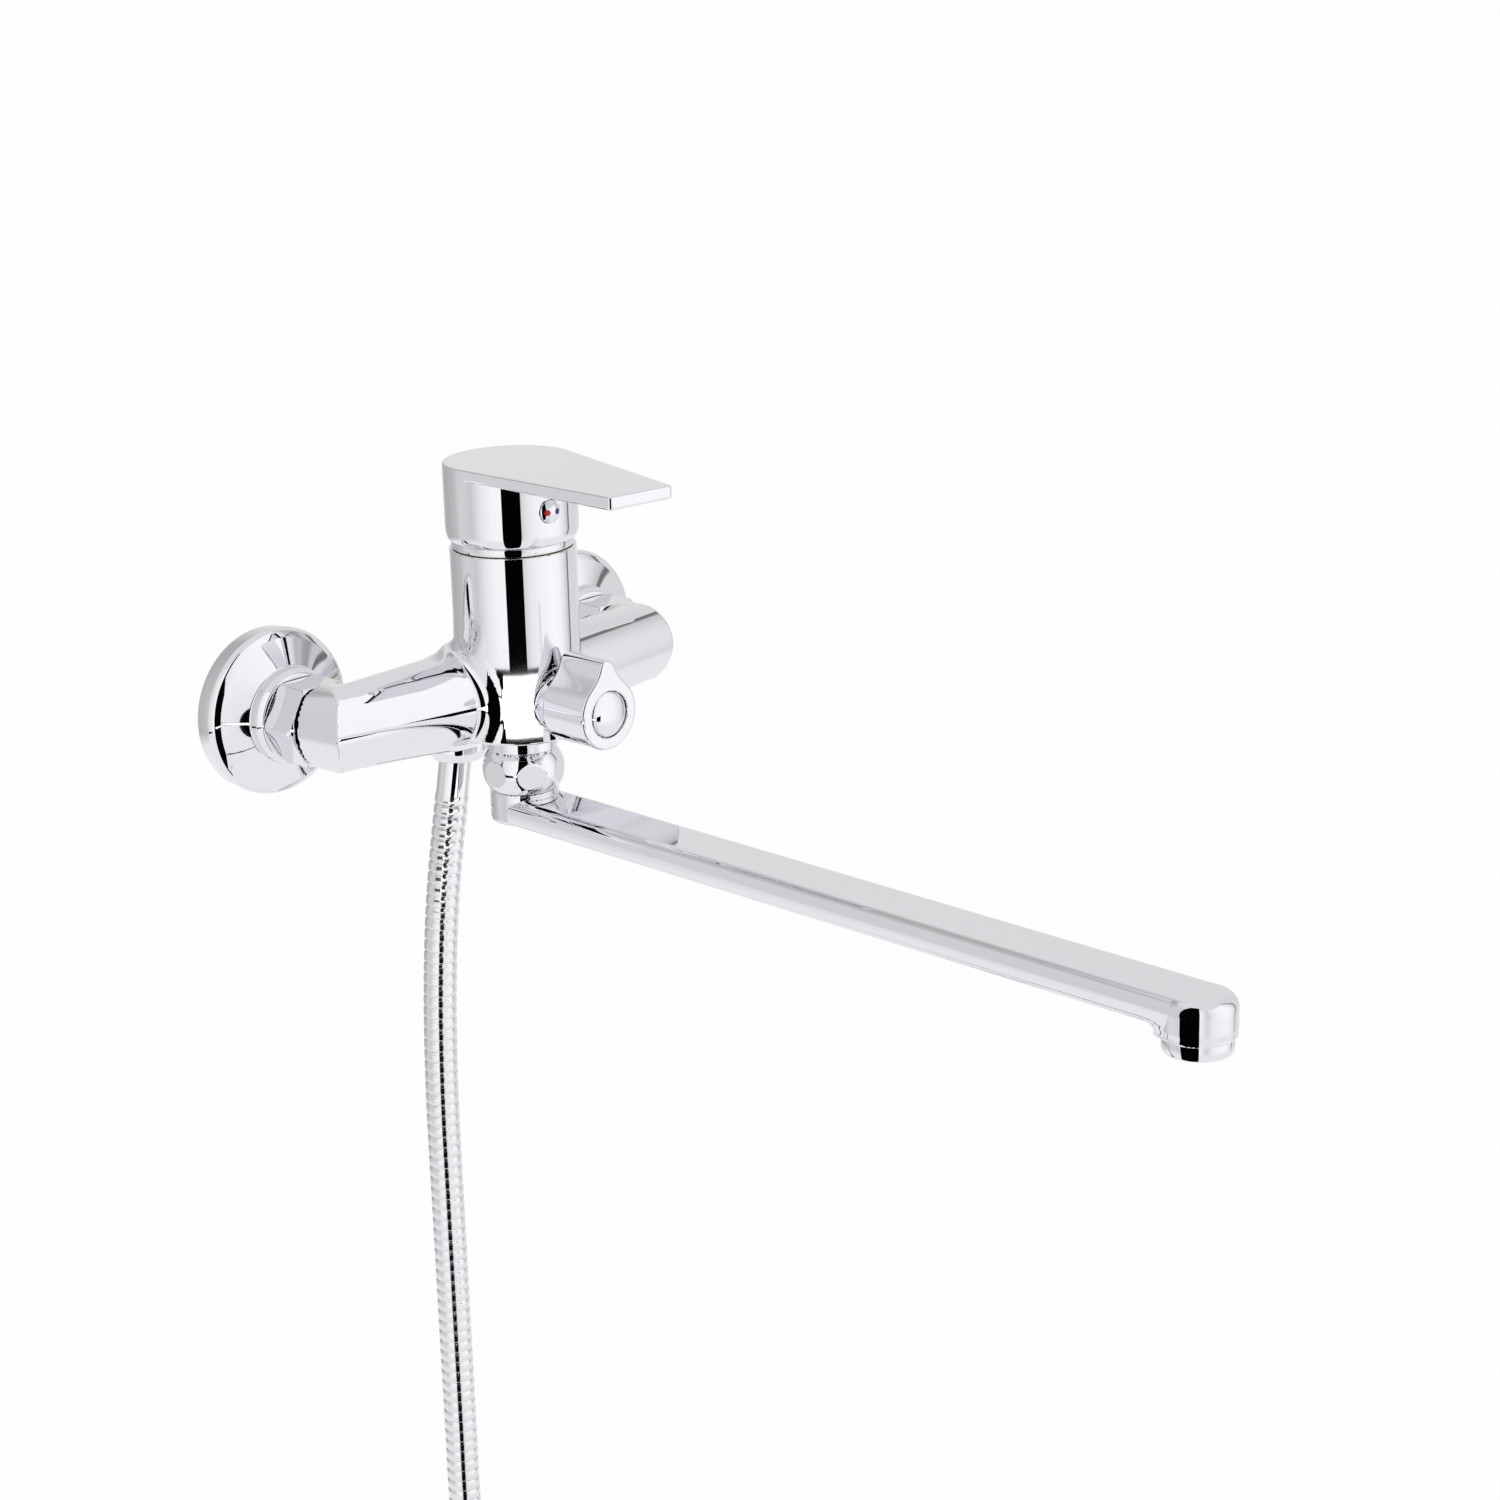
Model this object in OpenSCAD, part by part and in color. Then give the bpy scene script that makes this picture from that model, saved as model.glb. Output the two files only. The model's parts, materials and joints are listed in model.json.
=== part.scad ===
// Wall mounted bath faucet: single lever mixer with a long swivelling spout, a diverter knob
// and a metal shower hose. Millimetres, +Z up, the wall is the plane y = 0 and the room is at -Y.
// The origin lies on the wall midway between the two pipe inlets.

/* [Wall inlets] */
// Distance between the two wall inlets
inlet_pitch = 150; // [140:1:160]
// Offset between the two ends of each S union
union_throw = 7.5; // [5:0.5:8]
// Diameter of the escutcheons on the wall
escutcheon_d = 64; // [60:1:68]
// Width across the flats of the union nuts
nut_flats = 30; // [29.5:0.5:31]

/* [Body] */
// Distance from the wall to the axis of the column
body_reach = 60; // [58:1:64]
// Diameter of the column
column_d = 48; // [48:0.5:50]
// Height of the column above the axis of the union nuts
column_top = 58; // [57:0.5:60]
// Depth of the column below the axis of the union nuts
column_drop = 14.5; // [14:0.5:16]
// Diameter of the arms at the inlet ends
arm_end_d = 32; // [31:0.5:33]
// Diameter of the arms where they meet the column
arm_root_d = 37.2; // [36:0.2:38.4]

/* [Lever] */
// Diameter of the lever cap
lever_d = 50; // [49:0.5:52]
// Distance from the column axis to the tip of the lever
lever_reach = 81.5; // [70:0.5:95]
// Width of the lever at its tip
lever_tip_w = 28.4; // [20:0.2:34]
// Thickness of the lever blade
lever_t = 4.1; // [3.6:0.1:5]
// Angle that the lever is left turned to
lever_turn = -7; // [-20:1:20]

/* [Spout] */
// Distance from the column axis to the outlet of the spout
spout_reach = 319; // [200:1:400]
// Width of the spout
spout_w = 25.6; // [25:0.2:28]
// Depth of the spout beam
spout_t = 10.4; // [10:0.2:12]

/* [Hose] */
// Outer diameter of the shower hose
hose_d = 13; // [12:0.5:14]
// Radius of the hose's stored coil
coil_r = 75; // [70:1:80]

/* [Hidden] */
$fn = 72;
chrome = [0.83, 0.84, 0.86];
brass = [0.80, 0.66, 0.36];
plastic = [0.90, 0.90, 0.88];
rubber = [0.12, 0.12, 0.13];
steel = [0.66, 0.67, 0.69];
ceramic = [0.93, 0.93, 0.90];

half_pitch = inlet_pitch / 2;
column_r = column_d / 2;
arm_y = body_reach - 15;
arm_end_r = arm_end_d / 2;
arm_root_r = arm_root_d / 2;
arm_sweep = 5;
face_r = 20.5;
face_sweep = 8.5;

// G1/2 and G3/4 pipe threads, drawn at their outer diameters
g12_r = 10.48;
g34_r = 13.1;
thread_gap = 0.1;

// Distances from the wall along an inlet
union_end = 27;
washer_t = 2;
tail_start = union_end + washer_t;
tail_flange_t = 2;
socket_start = 36.5;
tail_end = 46;
tail_r = 9.2;
nut_start = 21.2;
nut_end = 35.6;

// The lever tilts about this height inside the cartridge
pivot_z = 46;
dome_r = 27.3;
lever_bore_r = 27.7;
lever_r = lever_d / 2;
lever_skirt_z = 61.3;
blade_z = 86.3;
lever_rise = -0.6;
plug_z = 74.4;
plug_r = 4.3;
plug_top = lever_d / 2 + 2;
plug_curve = 5.84;
mark_r = 1.15;
mark_offset = 2.2;

seat_z = 28;
cartridge_r = 20;
cartridge_shoulder = 50;
carrier_r = 14;
pin_r = 1.5;
stem_w = 8;
ball_z = 38.6;
ball_r = 2.6;

// Heights of the spout, from the axis of the union nuts
nipple_r = 12.4;
nipple_end = -33;
socket_r = 9.6;
nut_low = -37.2;
ball_nut_r = 12.4;
spout_top = -39.6;
spout_low = spout_top - spout_t;
shoulder_r = 4.6;
neck_r = 13.2;
stub_r = 9.52;
tip_low = -54;
aerator_low = -59.3;
aerator_r = 11.9;
tip_bore_r = 10.4;
tip_y = -body_reach - spout_reach;

knob_z = 0.5;
knob_back = 87;
knob_face = 109.5;
knob_r = 13.7;
boss_face = 86.3;
diverter_r = 8.6;
stem_r = 3.5;

outlet_y = -22;
outlet_low = -22;
hose_r = hose_d / 2;
ferrule_r = 6.3;
hose_lean = 11;
lean_z = -26;
ferrule_end = 22.3;

// Route of the hanging hose, from below its first ferrule to where it starts to coil
hose_route = [[-8.6, -70], [-12, -90], [-14.4, -110], [-16.2, -132], [-17.4, -156],
    [-18, -182], [-18, -214], [-18, -248], [-18, -284], [-18, -320], [-18, -350]];
coil_x = -18;
coil_turns = 2 + 1 / 6;
coil_pitch = hose_d + 0.5;
coil_z = -350 - sqrt(3) * coil_r;
coil_end_y = outlet_y - coil_turns * coil_pitch;
tail_drop = 48;
hose_sides = 10;

// Places: the union nut axis, the column axis, the turned lever, the knob and an inlet
module on_axis() translate([0, 0, union_throw]) children();
module on_column() on_axis() translate([0, -body_reach, 0]) children();
module on_lever() on_column() rotate([0, 0, lever_turn]) children();
module on_knob() on_axis() translate([0, 0, knob_z]) rotate([90, 0, 0]) children();
module on_inlet(side) on_axis() translate([side * half_pitch, 0, 0]) rotate([90, 0, 0]) children();
module on_outlet() on_axis() translate([0, outlet_y, 0]) children();
module on_lean() on_outlet() translate([0, 0, lean_z]) rotate([0, hose_lean, 0]) children();

// A tube along Z between two heights
module tube(outer, inner, low, high) {
    translate([0, 0, low]) difference() {
        cylinder(r = outer, h = high - low);
        translate([0, 0, -1]) cylinder(r = inner, h = high - low + 2);
    }
}

module rod(radius, low, high) translate([0, 0, low]) cylinder(r = radius, h = high - low);

module hexagon(flats, low, high) {
    translate([0, 0, low]) cylinder(r = flats / sqrt(3), h = high - low, $fn = 6);
}

// ---- Wall inlets ----

module s_union(side) {
    color(brass) on_inlet(side) difference() {
        union() {
            rod(g34_r, 1, union_end);
            translate([0, -union_throw, 0]) rod(g12_r, -17, 1);
        }
        rod(8.5, 3, union_end + 1);
        translate([0, -union_throw, 0]) rod(5, -18, 6);
    }
}

// The bell is a shell: a steep rim, a dome that flattens toward the middle, and a raised collar
module escutcheon(side) {
    rim_r = escutcheon_d / 2;
    dome = [for (i = [0 : 6]) let (t = i / 6) [28.6 - 10.2 * t, 10.7 + 4.2 * t + 0.5 * sin(180 * t)]];
    under = [for (i = [6 : -1 : 0]) let (t = i / 6) [27.4 - 9.6 * t, 9.2 + 4.0 * t + 0.5 * sin(180 * t)]];
    color(chrome) on_inlet(side) rotate_extrude() polygon(concat(
        [[rim_r - 0.8, 0], [rim_r - 0.1, 7.2], [rim_r - 0.5, 8.8], [rim_r - 1.6, 9.9]], dome,
        [[18.2, 18.4], [17.7, 20], [16.9, 20.8], [g34_r + 0.3, 20.8], [g34_r + 0.3, 12.2], [17.2, 12.2]],
        under, [[rim_r - 2.2, 6.6], [rim_r - 2.4, 0]]));
}

module union_nut(side) {
    corner = nut_flats / sqrt(3);
    color(chrome) on_inlet(side) difference() {
        intersection() {
            hexagon(nut_flats, nut_start, nut_end);
            rotate_extrude() polygon([[0, nut_start], [corner - 1.6, nut_start], [corner, nut_start + 1],
                [corner, nut_end - 1.4], [corner - 2, nut_end], [0, nut_end]]);
        }
        rod(g34_r + thread_gap, nut_start - 1, tail_start + tail_flange_t + 0.2);
        rod(tail_r + thread_gap, nut_start, nut_end + 1);
    }
}

module inlet_tail(side) {
    color(brass) on_inlet(side) difference() {
        union() {
            rod(12.6, tail_start, tail_start + tail_flange_t);
            rod(tail_r, tail_start, tail_end);
        }
        rod(6.5, tail_start - 1, tail_end + 1);
    }
}

module union_washers() {
    color(rubber) for (side = [-1, 1]) on_inlet(side) tube(12.6, 8.6, union_end, tail_start);
}

// ---- Body casting ----

// One arm: a tapered tube from the column, a socket toward the wall and a mitred corner
module arm_round(side, end) {
    bend = half_pitch / cos(arm_sweep);
    root_y = arm_y + half_pitch * tan(arm_sweep);
    on_axis() translate([0, -root_y, 0]) rotate([0, 0, side * arm_sweep]) rotate([0, side * 90, 0])
        rotate_extrude() polygon([[0, 0], [arm_root_r, 0], [arm_root_r, 20],
            [arm_end_r - 0.4, bend], [arm_end_r - 0.4, end], [0, end]]);
}

// Flatter front of the arm, and its mirror image round the elbow
module face_drum(side, lean) {
    on_axis() translate([side * (half_pitch + 10.75), -arm_y - 11.25, 0]) rotate([0, 0, side * lean])
        translate([0, face_r, 0]) rotate([0, 90, 0]) rod(face_r, -120, 120);
}

module arm(side) {
    intersection() {
        arm_round(side, half_pitch / cos(arm_sweep));
        face_drum(side, face_sweep);
    }
    intersection() {
        on_inlet(side) rod(arm_end_r, socket_start, arm_y);
        face_drum(side, 90 - face_sweep);
    }
    // The corner lies inside both branches
    intersection() {
        arm_round(side, half_pitch + 20);
        on_inlet(side) rod(arm_end_r, arm_y - 1, arm_y + 20);
        face_drum(side, face_sweep);
        face_drum(side, 90 - face_sweep);
    }
}

module body_solid() {
    on_column() rotate_extrude() polygon([[0, -column_drop], [column_r - 0.8, -column_drop],
        [column_r, -column_drop + 0.8], [column_r, column_top - 14], [column_r - 0.3, column_top - 0.6],
        [column_r - 0.9, column_top], [0, column_top]]);
    // The arms leave room for the collar of the spout nut
    difference() {
        for (side = [-1, 1]) arm(side);
        on_column() rod(13.7, nipple_end, -column_drop);
    }
    on_outlet() rotate_extrude() polygon([[0, outlet_low], [11.9, outlet_low], [12.5, outlet_low + 0.6],
        [12.5, 3], [10.5, 6], [0, 6]]);
    on_knob() rod(knob_r - 0.4, body_reach, boss_face);
    on_column() rod(nipple_r, nipple_end, -column_drop);
}

module body() {
    color(chrome) difference() {
        body_solid();
        // Cartridge seat, its retaining thread and the mixed water duct
        on_column() rod(cartridge_r + 0.1, seat_z, column_top + 1);
        on_column() rod(21.7, cartridge_shoulder, column_top + 1);
        on_column() translate([0, -10, 0]) rod(3.6, 4, seat_z + 1);
        // Hot and cold ducts, from the inlet tails to the cartridge
        for (side = [-1, 1]) {
            on_inlet(side) rod(tail_r, socket_start - 1, tail_end + 0.2);
            on_inlet(side) rod(nut_flats / sqrt(3) + 0.3, 5, socket_start);
            on_axis() translate([side * half_pitch, -arm_y, 0]) rotate([0, -side * 90, 0])
                rod(6, -4, half_pitch - 9);
            on_column() translate([side * 10, 8, 0]) rod(3.6, 0, seat_z + 1);
        }
        // Diverter chamber, spout socket and shower outlet
        on_knob() rod(diverter_r, body_reach, boss_face + 1);
        on_column() rod(socket_r, nipple_end - 1, -6);
        on_axis() translate([0, outlet_y, knob_z]) rotate([90, 0, 0]) rod(4, 0, body_reach + outlet_y + 1);
        on_outlet() rod(9.5, outlet_low - 1, -9);
        on_outlet() rod(4, -10, knob_z);
    }
}

// ---- Cartridge ----

module ports(radius, low, high) {
    translate([0, -10, 0]) rod(radius, low, high);
    for (side = [-1, 1]) translate([side * 10, 8, 0]) rod(radius, low, high);
}

module cartridge_housing() {
    color(plastic) on_column() difference() {
        union() {
            rod(cartridge_r, seat_z, cartridge_shoulder);
            rod(17, seat_z, 56);
        }
        rod(carrier_r + 0.2, 32, 57);
        ports(3, seat_z - 1, 33);
        ports(5.6, seat_z - 1, seat_z + 1.3);
    }
}

module cartridge_seals() {
    color(rubber) on_column() difference() {
        ports(5.5, seat_z, seat_z + 1.3);
        ports(3.4, seat_z - 1, seat_z + 2);
    }
}

module fixed_disc() {
    color(ceramic) on_column() difference() {
        rod(carrier_r, 32, 34.5);
        translate([0, -8, 0]) rod(2.4, 31, 35);
        for (side = [-1, 1]) translate([side * 7, 7, 0]) rod(2.4, 31, 35);
    }
}

module moving_disc() {
    color(ceramic) on_lever() difference() {
        rod(9.6, 34.6, 39.5);
        translate([-2.8, -3, 35.8]) cube([5.6, 6, 5]);
    }
}

module lever_carrier() {
    color(plastic) on_lever() difference() {
        rod(carrier_r, 40, 55.5);
        translate([-stem_w / 2 - 0.2, -6.2, 39]) cube([stem_w + 0.4, 15.9, 18]);
        translate([-15, 0, pivot_z]) rotate([0, 90, 0]) cylinder(r = pin_r, h = 30);
    }
}

module pivot_pin() {
    color(steel) on_lever() translate([-13, 0, pivot_z]) rotate([0, 90, 0]) cylinder(r = pin_r, h = 26);
}

module lever_stem() {
    color(brass) on_lever() difference() {
        union() {
            translate([-stem_w / 2, -stem_w / 2, 43.4]) cube([stem_w, stem_w, 40.6]);
            rod(2.1, ball_z, 43.6);
            translate([0, 0, ball_z]) sphere(r = ball_r);
        }
        translate([-15, 0, pivot_z]) rotate([0, 90, 0]) cylinder(r = pin_r + 0.06, h = 30);
    }
}

module cartridge_nut() {
    color(brass) on_column() difference() {
        union() {
            rod(21.6, cartridge_shoulder, 58.8);
            hexagon(35.4, 58, 60.8);
        }
        rod(17.2, cartridge_shoulder - 1, 62);
    }
}

// The ring's lip lies on a sphere about the tilt axis, so the tilting lever always clears it
module neck_ring() {
    lip = [for (a = [57 : -2 : 51]) [dome_r * sin(a), pivot_z + dome_r * cos(a)]];
    color(chrome) on_column() rotate_extrude() polygon(concat(
        [[21.75, column_top + 0.15], [23.05, column_top + 0.15], [23.05, 60.6]],
        lip, [[20.6, 62.2], [21.1, 60.2], [21.75, 59.4]]));
}

// ---- Lever ----

// Plan of the cap and blade: a disc whose straight sides run to the narrower tip
module lever_plan() {
    root_w = lever_r - 0.4;
    tip_w = lever_tip_w / 2;
    circle(r = lever_r);
    polygon([[-root_w, 0], [-tip_w, -lever_reach], [tip_w, -lever_reach], [root_w, 0]]);
}

// Space under the cap: its mouth clears the ring at every tilt, and a boss is left for the stem
module lever_cavity() {
    mouth = [for (r = [23.7, 23.3, 22.8]) [r, pivot_z + sqrt(pow(lever_bore_r, 2) - r * r)]];
    rotate_extrude() polygon(concat([[0, 58], [23.7, 58]], mouth, [[22.8, 84], [9, 84], [9, 69], [0, 69]]));
}

module lever_cap() {
    skirt = [for (a = [0 : 15 : 90]) [23.6 + (lever_r - 23.6) * sin(a), lever_skirt_z + 5 * (1 - cos(a))]];
    difference() {
        rotate_extrude() polygon(concat([[0, lever_skirt_z]], skirt, [[lever_r, blade_z], [0, blade_z]]));
        lever_cavity();
        translate([-stem_w / 2 - 0.1, -stem_w / 2 - 0.1, 60]) cube([stem_w + 0.2, stem_w + 0.2, 24.2]);
        translate([0, 0, plug_z]) rotate([90, 0, 0]) rod(plug_r, 15, lever_r + 1);
        translate([0, 0, plug_z]) rotate([90, 0, 0]) rod(2.5, 0, 15);
    }
}

// The blade rises a little toward its tip
module lever_blade() {
    difference() {
        translate([0, 0, blade_z]) linear_extrude(2 * lever_t) lever_plan();
        translate([0, 0, blade_z + lever_t]) rotate([lever_rise, 0, 0])
            translate([-lever_reach, -2 * lever_reach, 0]) cube([2 * lever_reach, 3 * lever_reach, 20]);
    }
}

module lever() {
    color(chrome) on_lever() {
        lever_cap();
        lever_blade();
    }
}

module lever_screw() {
    color(steel) on_lever() translate([0, 0, plug_z]) rotate([90, 0, 0]) difference() {
        rod(2.5, stem_w / 2, 11);
        hexagon(2.5, 8.5, 12);
    }
}

module plug_dome(radius) {
    intersection() {
        rod(radius, 22.8, plug_top + 0.1);
        translate([0, 0, plug_top - plug_curve]) sphere(r = plug_curve);
    }
}
module indicator_plug() {
    color(chrome) on_lever() translate([0, 0, plug_z]) rotate([90, 0, 0]) difference() {
        union() {
            rod(plug_r, 22.8, lever_r - 0.2);
            plug_dome(plug_r);
        }
        for (side = [-1, 1]) translate([side * mark_offset, 0, 0]) rod(mark_r, lever_r - 0.6, plug_top);
    }
}
module mark(side) {
    on_lever() translate([0, 0, plug_z]) rotate([90, 0, 0]) intersection() {
        translate([side * mark_offset, 0, 0]) rod(mark_r, lever_r - 0.6, plug_top);
        translate([0, 0, plug_top - plug_curve]) sphere(r = plug_curve + 0.05);
    }
}
module hot_mark() color([0.80, 0.08, 0.06]) mark(-1);
module cold_mark() color([0.10, 0.16, 0.62]) mark(1);

// ---- Spout ----

// Section across the beam: a flat top with wide round shoulders, and smaller ones below
module beam_section() {
    half = spout_w / 2;
    under = 2.4;
    for (side = [-1, 1]) {
        translate([side * (half - shoulder_r), spout_top - shoulder_r]) circle(r = shoulder_r);
        translate([side * (half - under), spout_low + under]) circle(r = under);
    }
    translate([shoulder_r - half, spout_top - 2 * shoulder_r])
        square([spout_w - 2 * shoulder_r, 2 * shoulder_r]);
    translate([under - half, spout_low]) square([spout_w - 2 * under, 2 * under]);
    translate([-half, spout_low + under]) square([spout_w, spout_t - under - shoulder_r]);
}

module spout() {
    tip_r = spout_w / 2 + 0.2;
    tip_edge = [for (a = [0 : 15 : 90])
        [tip_r - shoulder_r * (1 - cos(a)), spout_top - shoulder_r * (1 - sin(a))]];
    color(chrome) difference() {
        union() {
            on_column() rotate([90, 0, 0]) linear_extrude(spout_reach) beam_section();
            on_column() rotate_extrude() polygon([[0, nut_low - 0.15], [neck_r - 0.3, nut_low - 0.15],
                [neck_r, nut_low - 0.45], [neck_r, spout_low + 1.4], [neck_r - 1.4, spout_low],
                [0, spout_low]]);
            on_column() rod(stub_r, nut_low - 1, -12);
            on_axis() translate([0, tip_y, 0]) rotate_extrude() polygon(concat([[0, tip_low],
                [tip_r - 0.6, tip_low], [tip_r, tip_low + 0.6]], tip_edge, [[0, spout_top]]));
        }
        // O-ring grooves, then the waterway from the stub to the outlet
        on_column() tube(12, 8.3, -19.1, -17);
        on_column() tube(12, 8.3, -24.1, -22);
        on_column() tube(12, 8.5, -34.6, -33);
        on_column() rod(6.8, spout_low + 3, -11);
        on_axis() translate([-7, tip_y, spout_low + 2.4]) cube([14, spout_reach, spout_t - 4.6]);
        on_axis() translate([0, tip_y, 0]) rod(tip_bore_r, tip_low - 1, spout_low + 3);
    }
}

// A ball with six flats under a plain collar, closed at the foot by a lip that holds the clip
module spout_nut() {
    top = -column_drop - 0.3;
    ball = [for (a = [35 : -7 : -35]) [3.3 + ball_nut_r * cos(a), -29.8 + ball_nut_r * sin(a)]];
    color(chrome) on_column() difference() {
        intersection() {
            rotate_extrude() polygon(concat([[0, top], [13, top], [13.4, top - 0.4], [13.4, -21],
                [12.9, -21.4], [12.9, -22]], ball, [[13.3, nut_low], [0, nut_low]]));
            hexagon(29.2, -40, -10);
        }
        rod(nipple_r + thread_gap, nipple_end - 1.6, top + 1);
        rod(stub_r + 0.13, nut_low - 1, -30);
    }
}

module spout_clip() {
    color(plastic) on_column() difference() {
        tube(11.6, 8.55, -34.5, -33.1);
        translate([-2, 0, -36]) cube([4, 14, 6]);
    }
}

module ring(radius, thick, height) {
    translate([0, 0, height]) rotate_extrude() translate([radius, 0]) circle(r = thick);
}

module spout_o_rings() {
    color(rubber) on_column() {
        ring(8.9, 0.6, -18.05);
        ring(8.9, 0.6, -23.05);
    }
}

module aerator_shell() {
    color(chrome) on_axis() translate([0, tip_y, 0]) difference() {
        union() {
            rod(tip_bore_r - 0.05, tip_low, tip_low + 5);
            rod(aerator_r, aerator_low, tip_low - 0.15);
            rod(aerator_r - 0.6, tip_low - 1, tip_low);
        }
        rod(8.8, aerator_low + 1.2, tip_low + 6);
        rod(8.2, aerator_low - 1, aerator_low + 2);
        for (side = [-1, 1]) translate([side * (aerator_r + 4.4), 0, aerator_low + 1.3])
            cube([10, 12, 2.6 + 4], center = true);
    }
}

module aerator_insert() {
    cell = 2.4;
    color(plastic) on_axis() translate([0, tip_y, 0]) difference() {
        rod(8.7, aerator_low + 1.25, tip_low + 4.6);
        for (x = [-2 : 2], y = [-2 : 2])
            if (norm([x, y]) < 2.6) translate([x * cell - 0.9, y * cell - 0.9, aerator_low])
                cube([1.8, 1.8, 4]);
    }
}

module aerator_washer() {
    color(rubber) on_axis() translate([0, tip_y, 0]) tube(10, 7, tip_low + 5.05, tip_low + 6.5);
}

// ---- Diverter ----

module diverter_cartridge() {
    color(brass) on_knob() difference() {
        union() {
            rod(diverter_r - 0.05, 64, boss_face + 1);
            hexagon(19.4, boss_face + 0.05, 90);
            rod(6, 89, 91.5);
        }
        tube(12, 7.4, 79, 81);
        rod(stem_r + 0.05, 63, 92);
        rod(7.2, 63, 68);
        translate([0, 0, 66]) rotate([90, 0, 0]) rod(2.6, 0, 12);
    }
}

module diverter_stem() {
    color(brass) on_knob() difference() {
        union() {
            rod(stem_r, 66, 103);
            difference() {
                rod(7.1, 64.5, 67.8);
                translate([0, -14, 60]) cube([14, 28, 12]);
            }
        }
        rod(1.5, 92, 104);
    }
}

module diverter_o_ring() {
    color(rubber) on_knob() ring(8, 0.52, 80);
}

// Plan of the knob: a disc with one pointer lobe between two hollow flanks
module knob_plan(radius, flank) {
    lobe = 3.4;
    centre = [9.4, 17.3];
    difference() {
        union() {
            circle(r = radius);
            translate([-6, 8]) square([12, 9.3]);
        }
        for (side = [-1, 1]) translate([side * centre[0], centre[1]]) circle(r = flank);
    }
    translate([0, 17.3]) circle(r = lobe);
}

module diverter_knob() {
    flank = norm([9.4, 17.3]) - knob_r;
    color(chrome) on_knob() difference() {
        translate([0, 0, knob_back]) linear_extrude(knob_face - knob_back) knob_plan(knob_r, flank);
        tube(11.8, 6.6, knob_back - 1, 104);
        rod(6.7, knob_back - 1, 92);
        rod(stem_r + 0.02, knob_back - 1, 103.2);
        rod(1.9, 100, knob_face);
        rod(3.6, 105, knob_face);
        rod(8.8, 107.2, knob_face + 1);
    }
}

module knob_screw() {
    color(steel) on_knob() difference() {
        union() {
            rod(1.5, 93, 105);
            rod(1.85, 103.1, 105);
            rod(3.4, 105, 106.9);
        }
        translate([-4, -0.5, 106.1]) cube([8, 1, 2]);
    }
}

module knob_cap() {
    crown = [for (a = [0 : 9 : 90]) [8.7 * cos(a), 108.9 + 1.5 * sin(a)]];
    color(chrome) on_knob() rotate_extrude() polygon(concat([[0, 107.3], [8.7, 107.3]], crown));
}

// ---- Shower outlet and hose ----

module outlet_nipple() {
    color(brass) on_outlet() difference() {
        union() {
            rod(9.45, outlet_low - 1, -12);
            hexagon(20, -23.4, outlet_low - 0.05);
            rod(g12_r, -29, -23);
        }
        rod(7.5, -30, -11);
    }
}

module check_valve() {
    color(plastic) on_outlet() difference() {
        rod(7.45, -26, -14);
        for (a = [0 : 90 : 270]) rotate([0, 0, a]) translate([3.6, 0, 0]) rod(2, -27, -13);
    }
}

module hose_washer() color(rubber) on_outlet() tube(9.2, 6.6, -30.6, -29.05);

module hose_nut() {
    color(chrome) on_outlet() difference() {
        rotate_extrude() polygon([[0, -33.4], [9.6, -33.4], [10.2, -33], [12.2, -29.4], [12.2, -24],
            [11.6, -23.6], [0, -23.6]]);
        rod(g12_r + thread_gap, -30.7, -20);
        rod(7.6, -36, -30);
    }
}

// The ferrule leans in its nut, as the hose swings away to one side
module hose_ferrule() {
    color(chrome) on_lean() difference() {
        union() {
            rotate_extrude() polygon([[0, -6.3], [7.2, -6.3], [7.2, -6.8], [ferrule_r, -7.6],
                [ferrule_r, -ferrule_end], [0, -ferrule_end]]);
        }
        rod(4, -ferrule_end - 1, 1);
    }
}

// Closed tube swept along a list of points, as one polyhedron
module swept_tube(points, radius, sides) {
    last = len(points) - 1;
    function heading(i) = let (d = points[min(i + 1, last)] - points[max(i - 1, 0)]) d / norm(d);
    function across(i) = let (c = cross(heading(i), [0, 1, 0])) c / norm(c);
    rings = [for (i = [0 : last]) let (u = across(i), v = cross(heading(i), u)) for (k = [0 : sides - 1])
        points[i] + radius * (cos(360 * k / sides) * u + sin(360 * k / sides) * v)];
    walls = [for (i = [0 : last - 1], k = [0 : sides - 1])
        let (next = (k + 1) % sides)
        [i * sides + k, i * sides + next, (i + 1) * sides + next, (i + 1) * sides + k]];
    caps = [[for (k = [sides - 1 : -1 : 0]) k], [for (k = [0 : sides - 1]) last * sides + k]];
    polyhedron(rings, concat(walls, caps), convexity = 6);
}

// The hose turns sixty degrees the other way before it joins its coil
module hose() {
    start = [-ferrule_end * sin(hose_lean), lean_z - ferrule_end * cos(hose_lean)];
    hang = [for (p = concat([start], hose_route)) [p[0], outlet_y, p[1]]];
    lead = [for (a = [12 : 12 : 60])
        [coil_x + coil_r * (1 - cos(a)), outlet_y, coil_z + coil_r * (sqrt(3) - sin(a))]];
    tail = [for (i = [0 : 2]) [coil_x + coil_r, coil_end_y, coil_z - tail_drop * i / 2]];
    color(steel) on_axis() {
        swept_tube(concat(hang, lead), hose_r, hose_sides);
        swept_tube(tail, hose_r, hose_sides);
    }
}

module coil_section(grow, back, front) {
    translate([coil_r - hose_r - grow, back - grow]) square([hose_d + 2 * grow, front - back + 2 * grow]);
}

module hose_coil() {
    color(steel) on_axis() translate([coil_x, 0, coil_z]) rotate([90, 0, 0]) rotate_extrude()
        coil_section(0, -outlet_y - hose_r, -coil_end_y + hose_r);
}

module hose_tie() {
    color(rubber) on_axis() translate([coil_x, 0, coil_z]) rotate([90, 0, 0])
        rotate([0, 0, 87]) rotate_extrude(angle = 6) difference() {
            coil_section(1.2, -outlet_y - hose_r, -coil_end_y + hose_r);
            coil_section(0.05, -outlet_y - hose_r, -coil_end_y + hose_r);
        }
}

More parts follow.
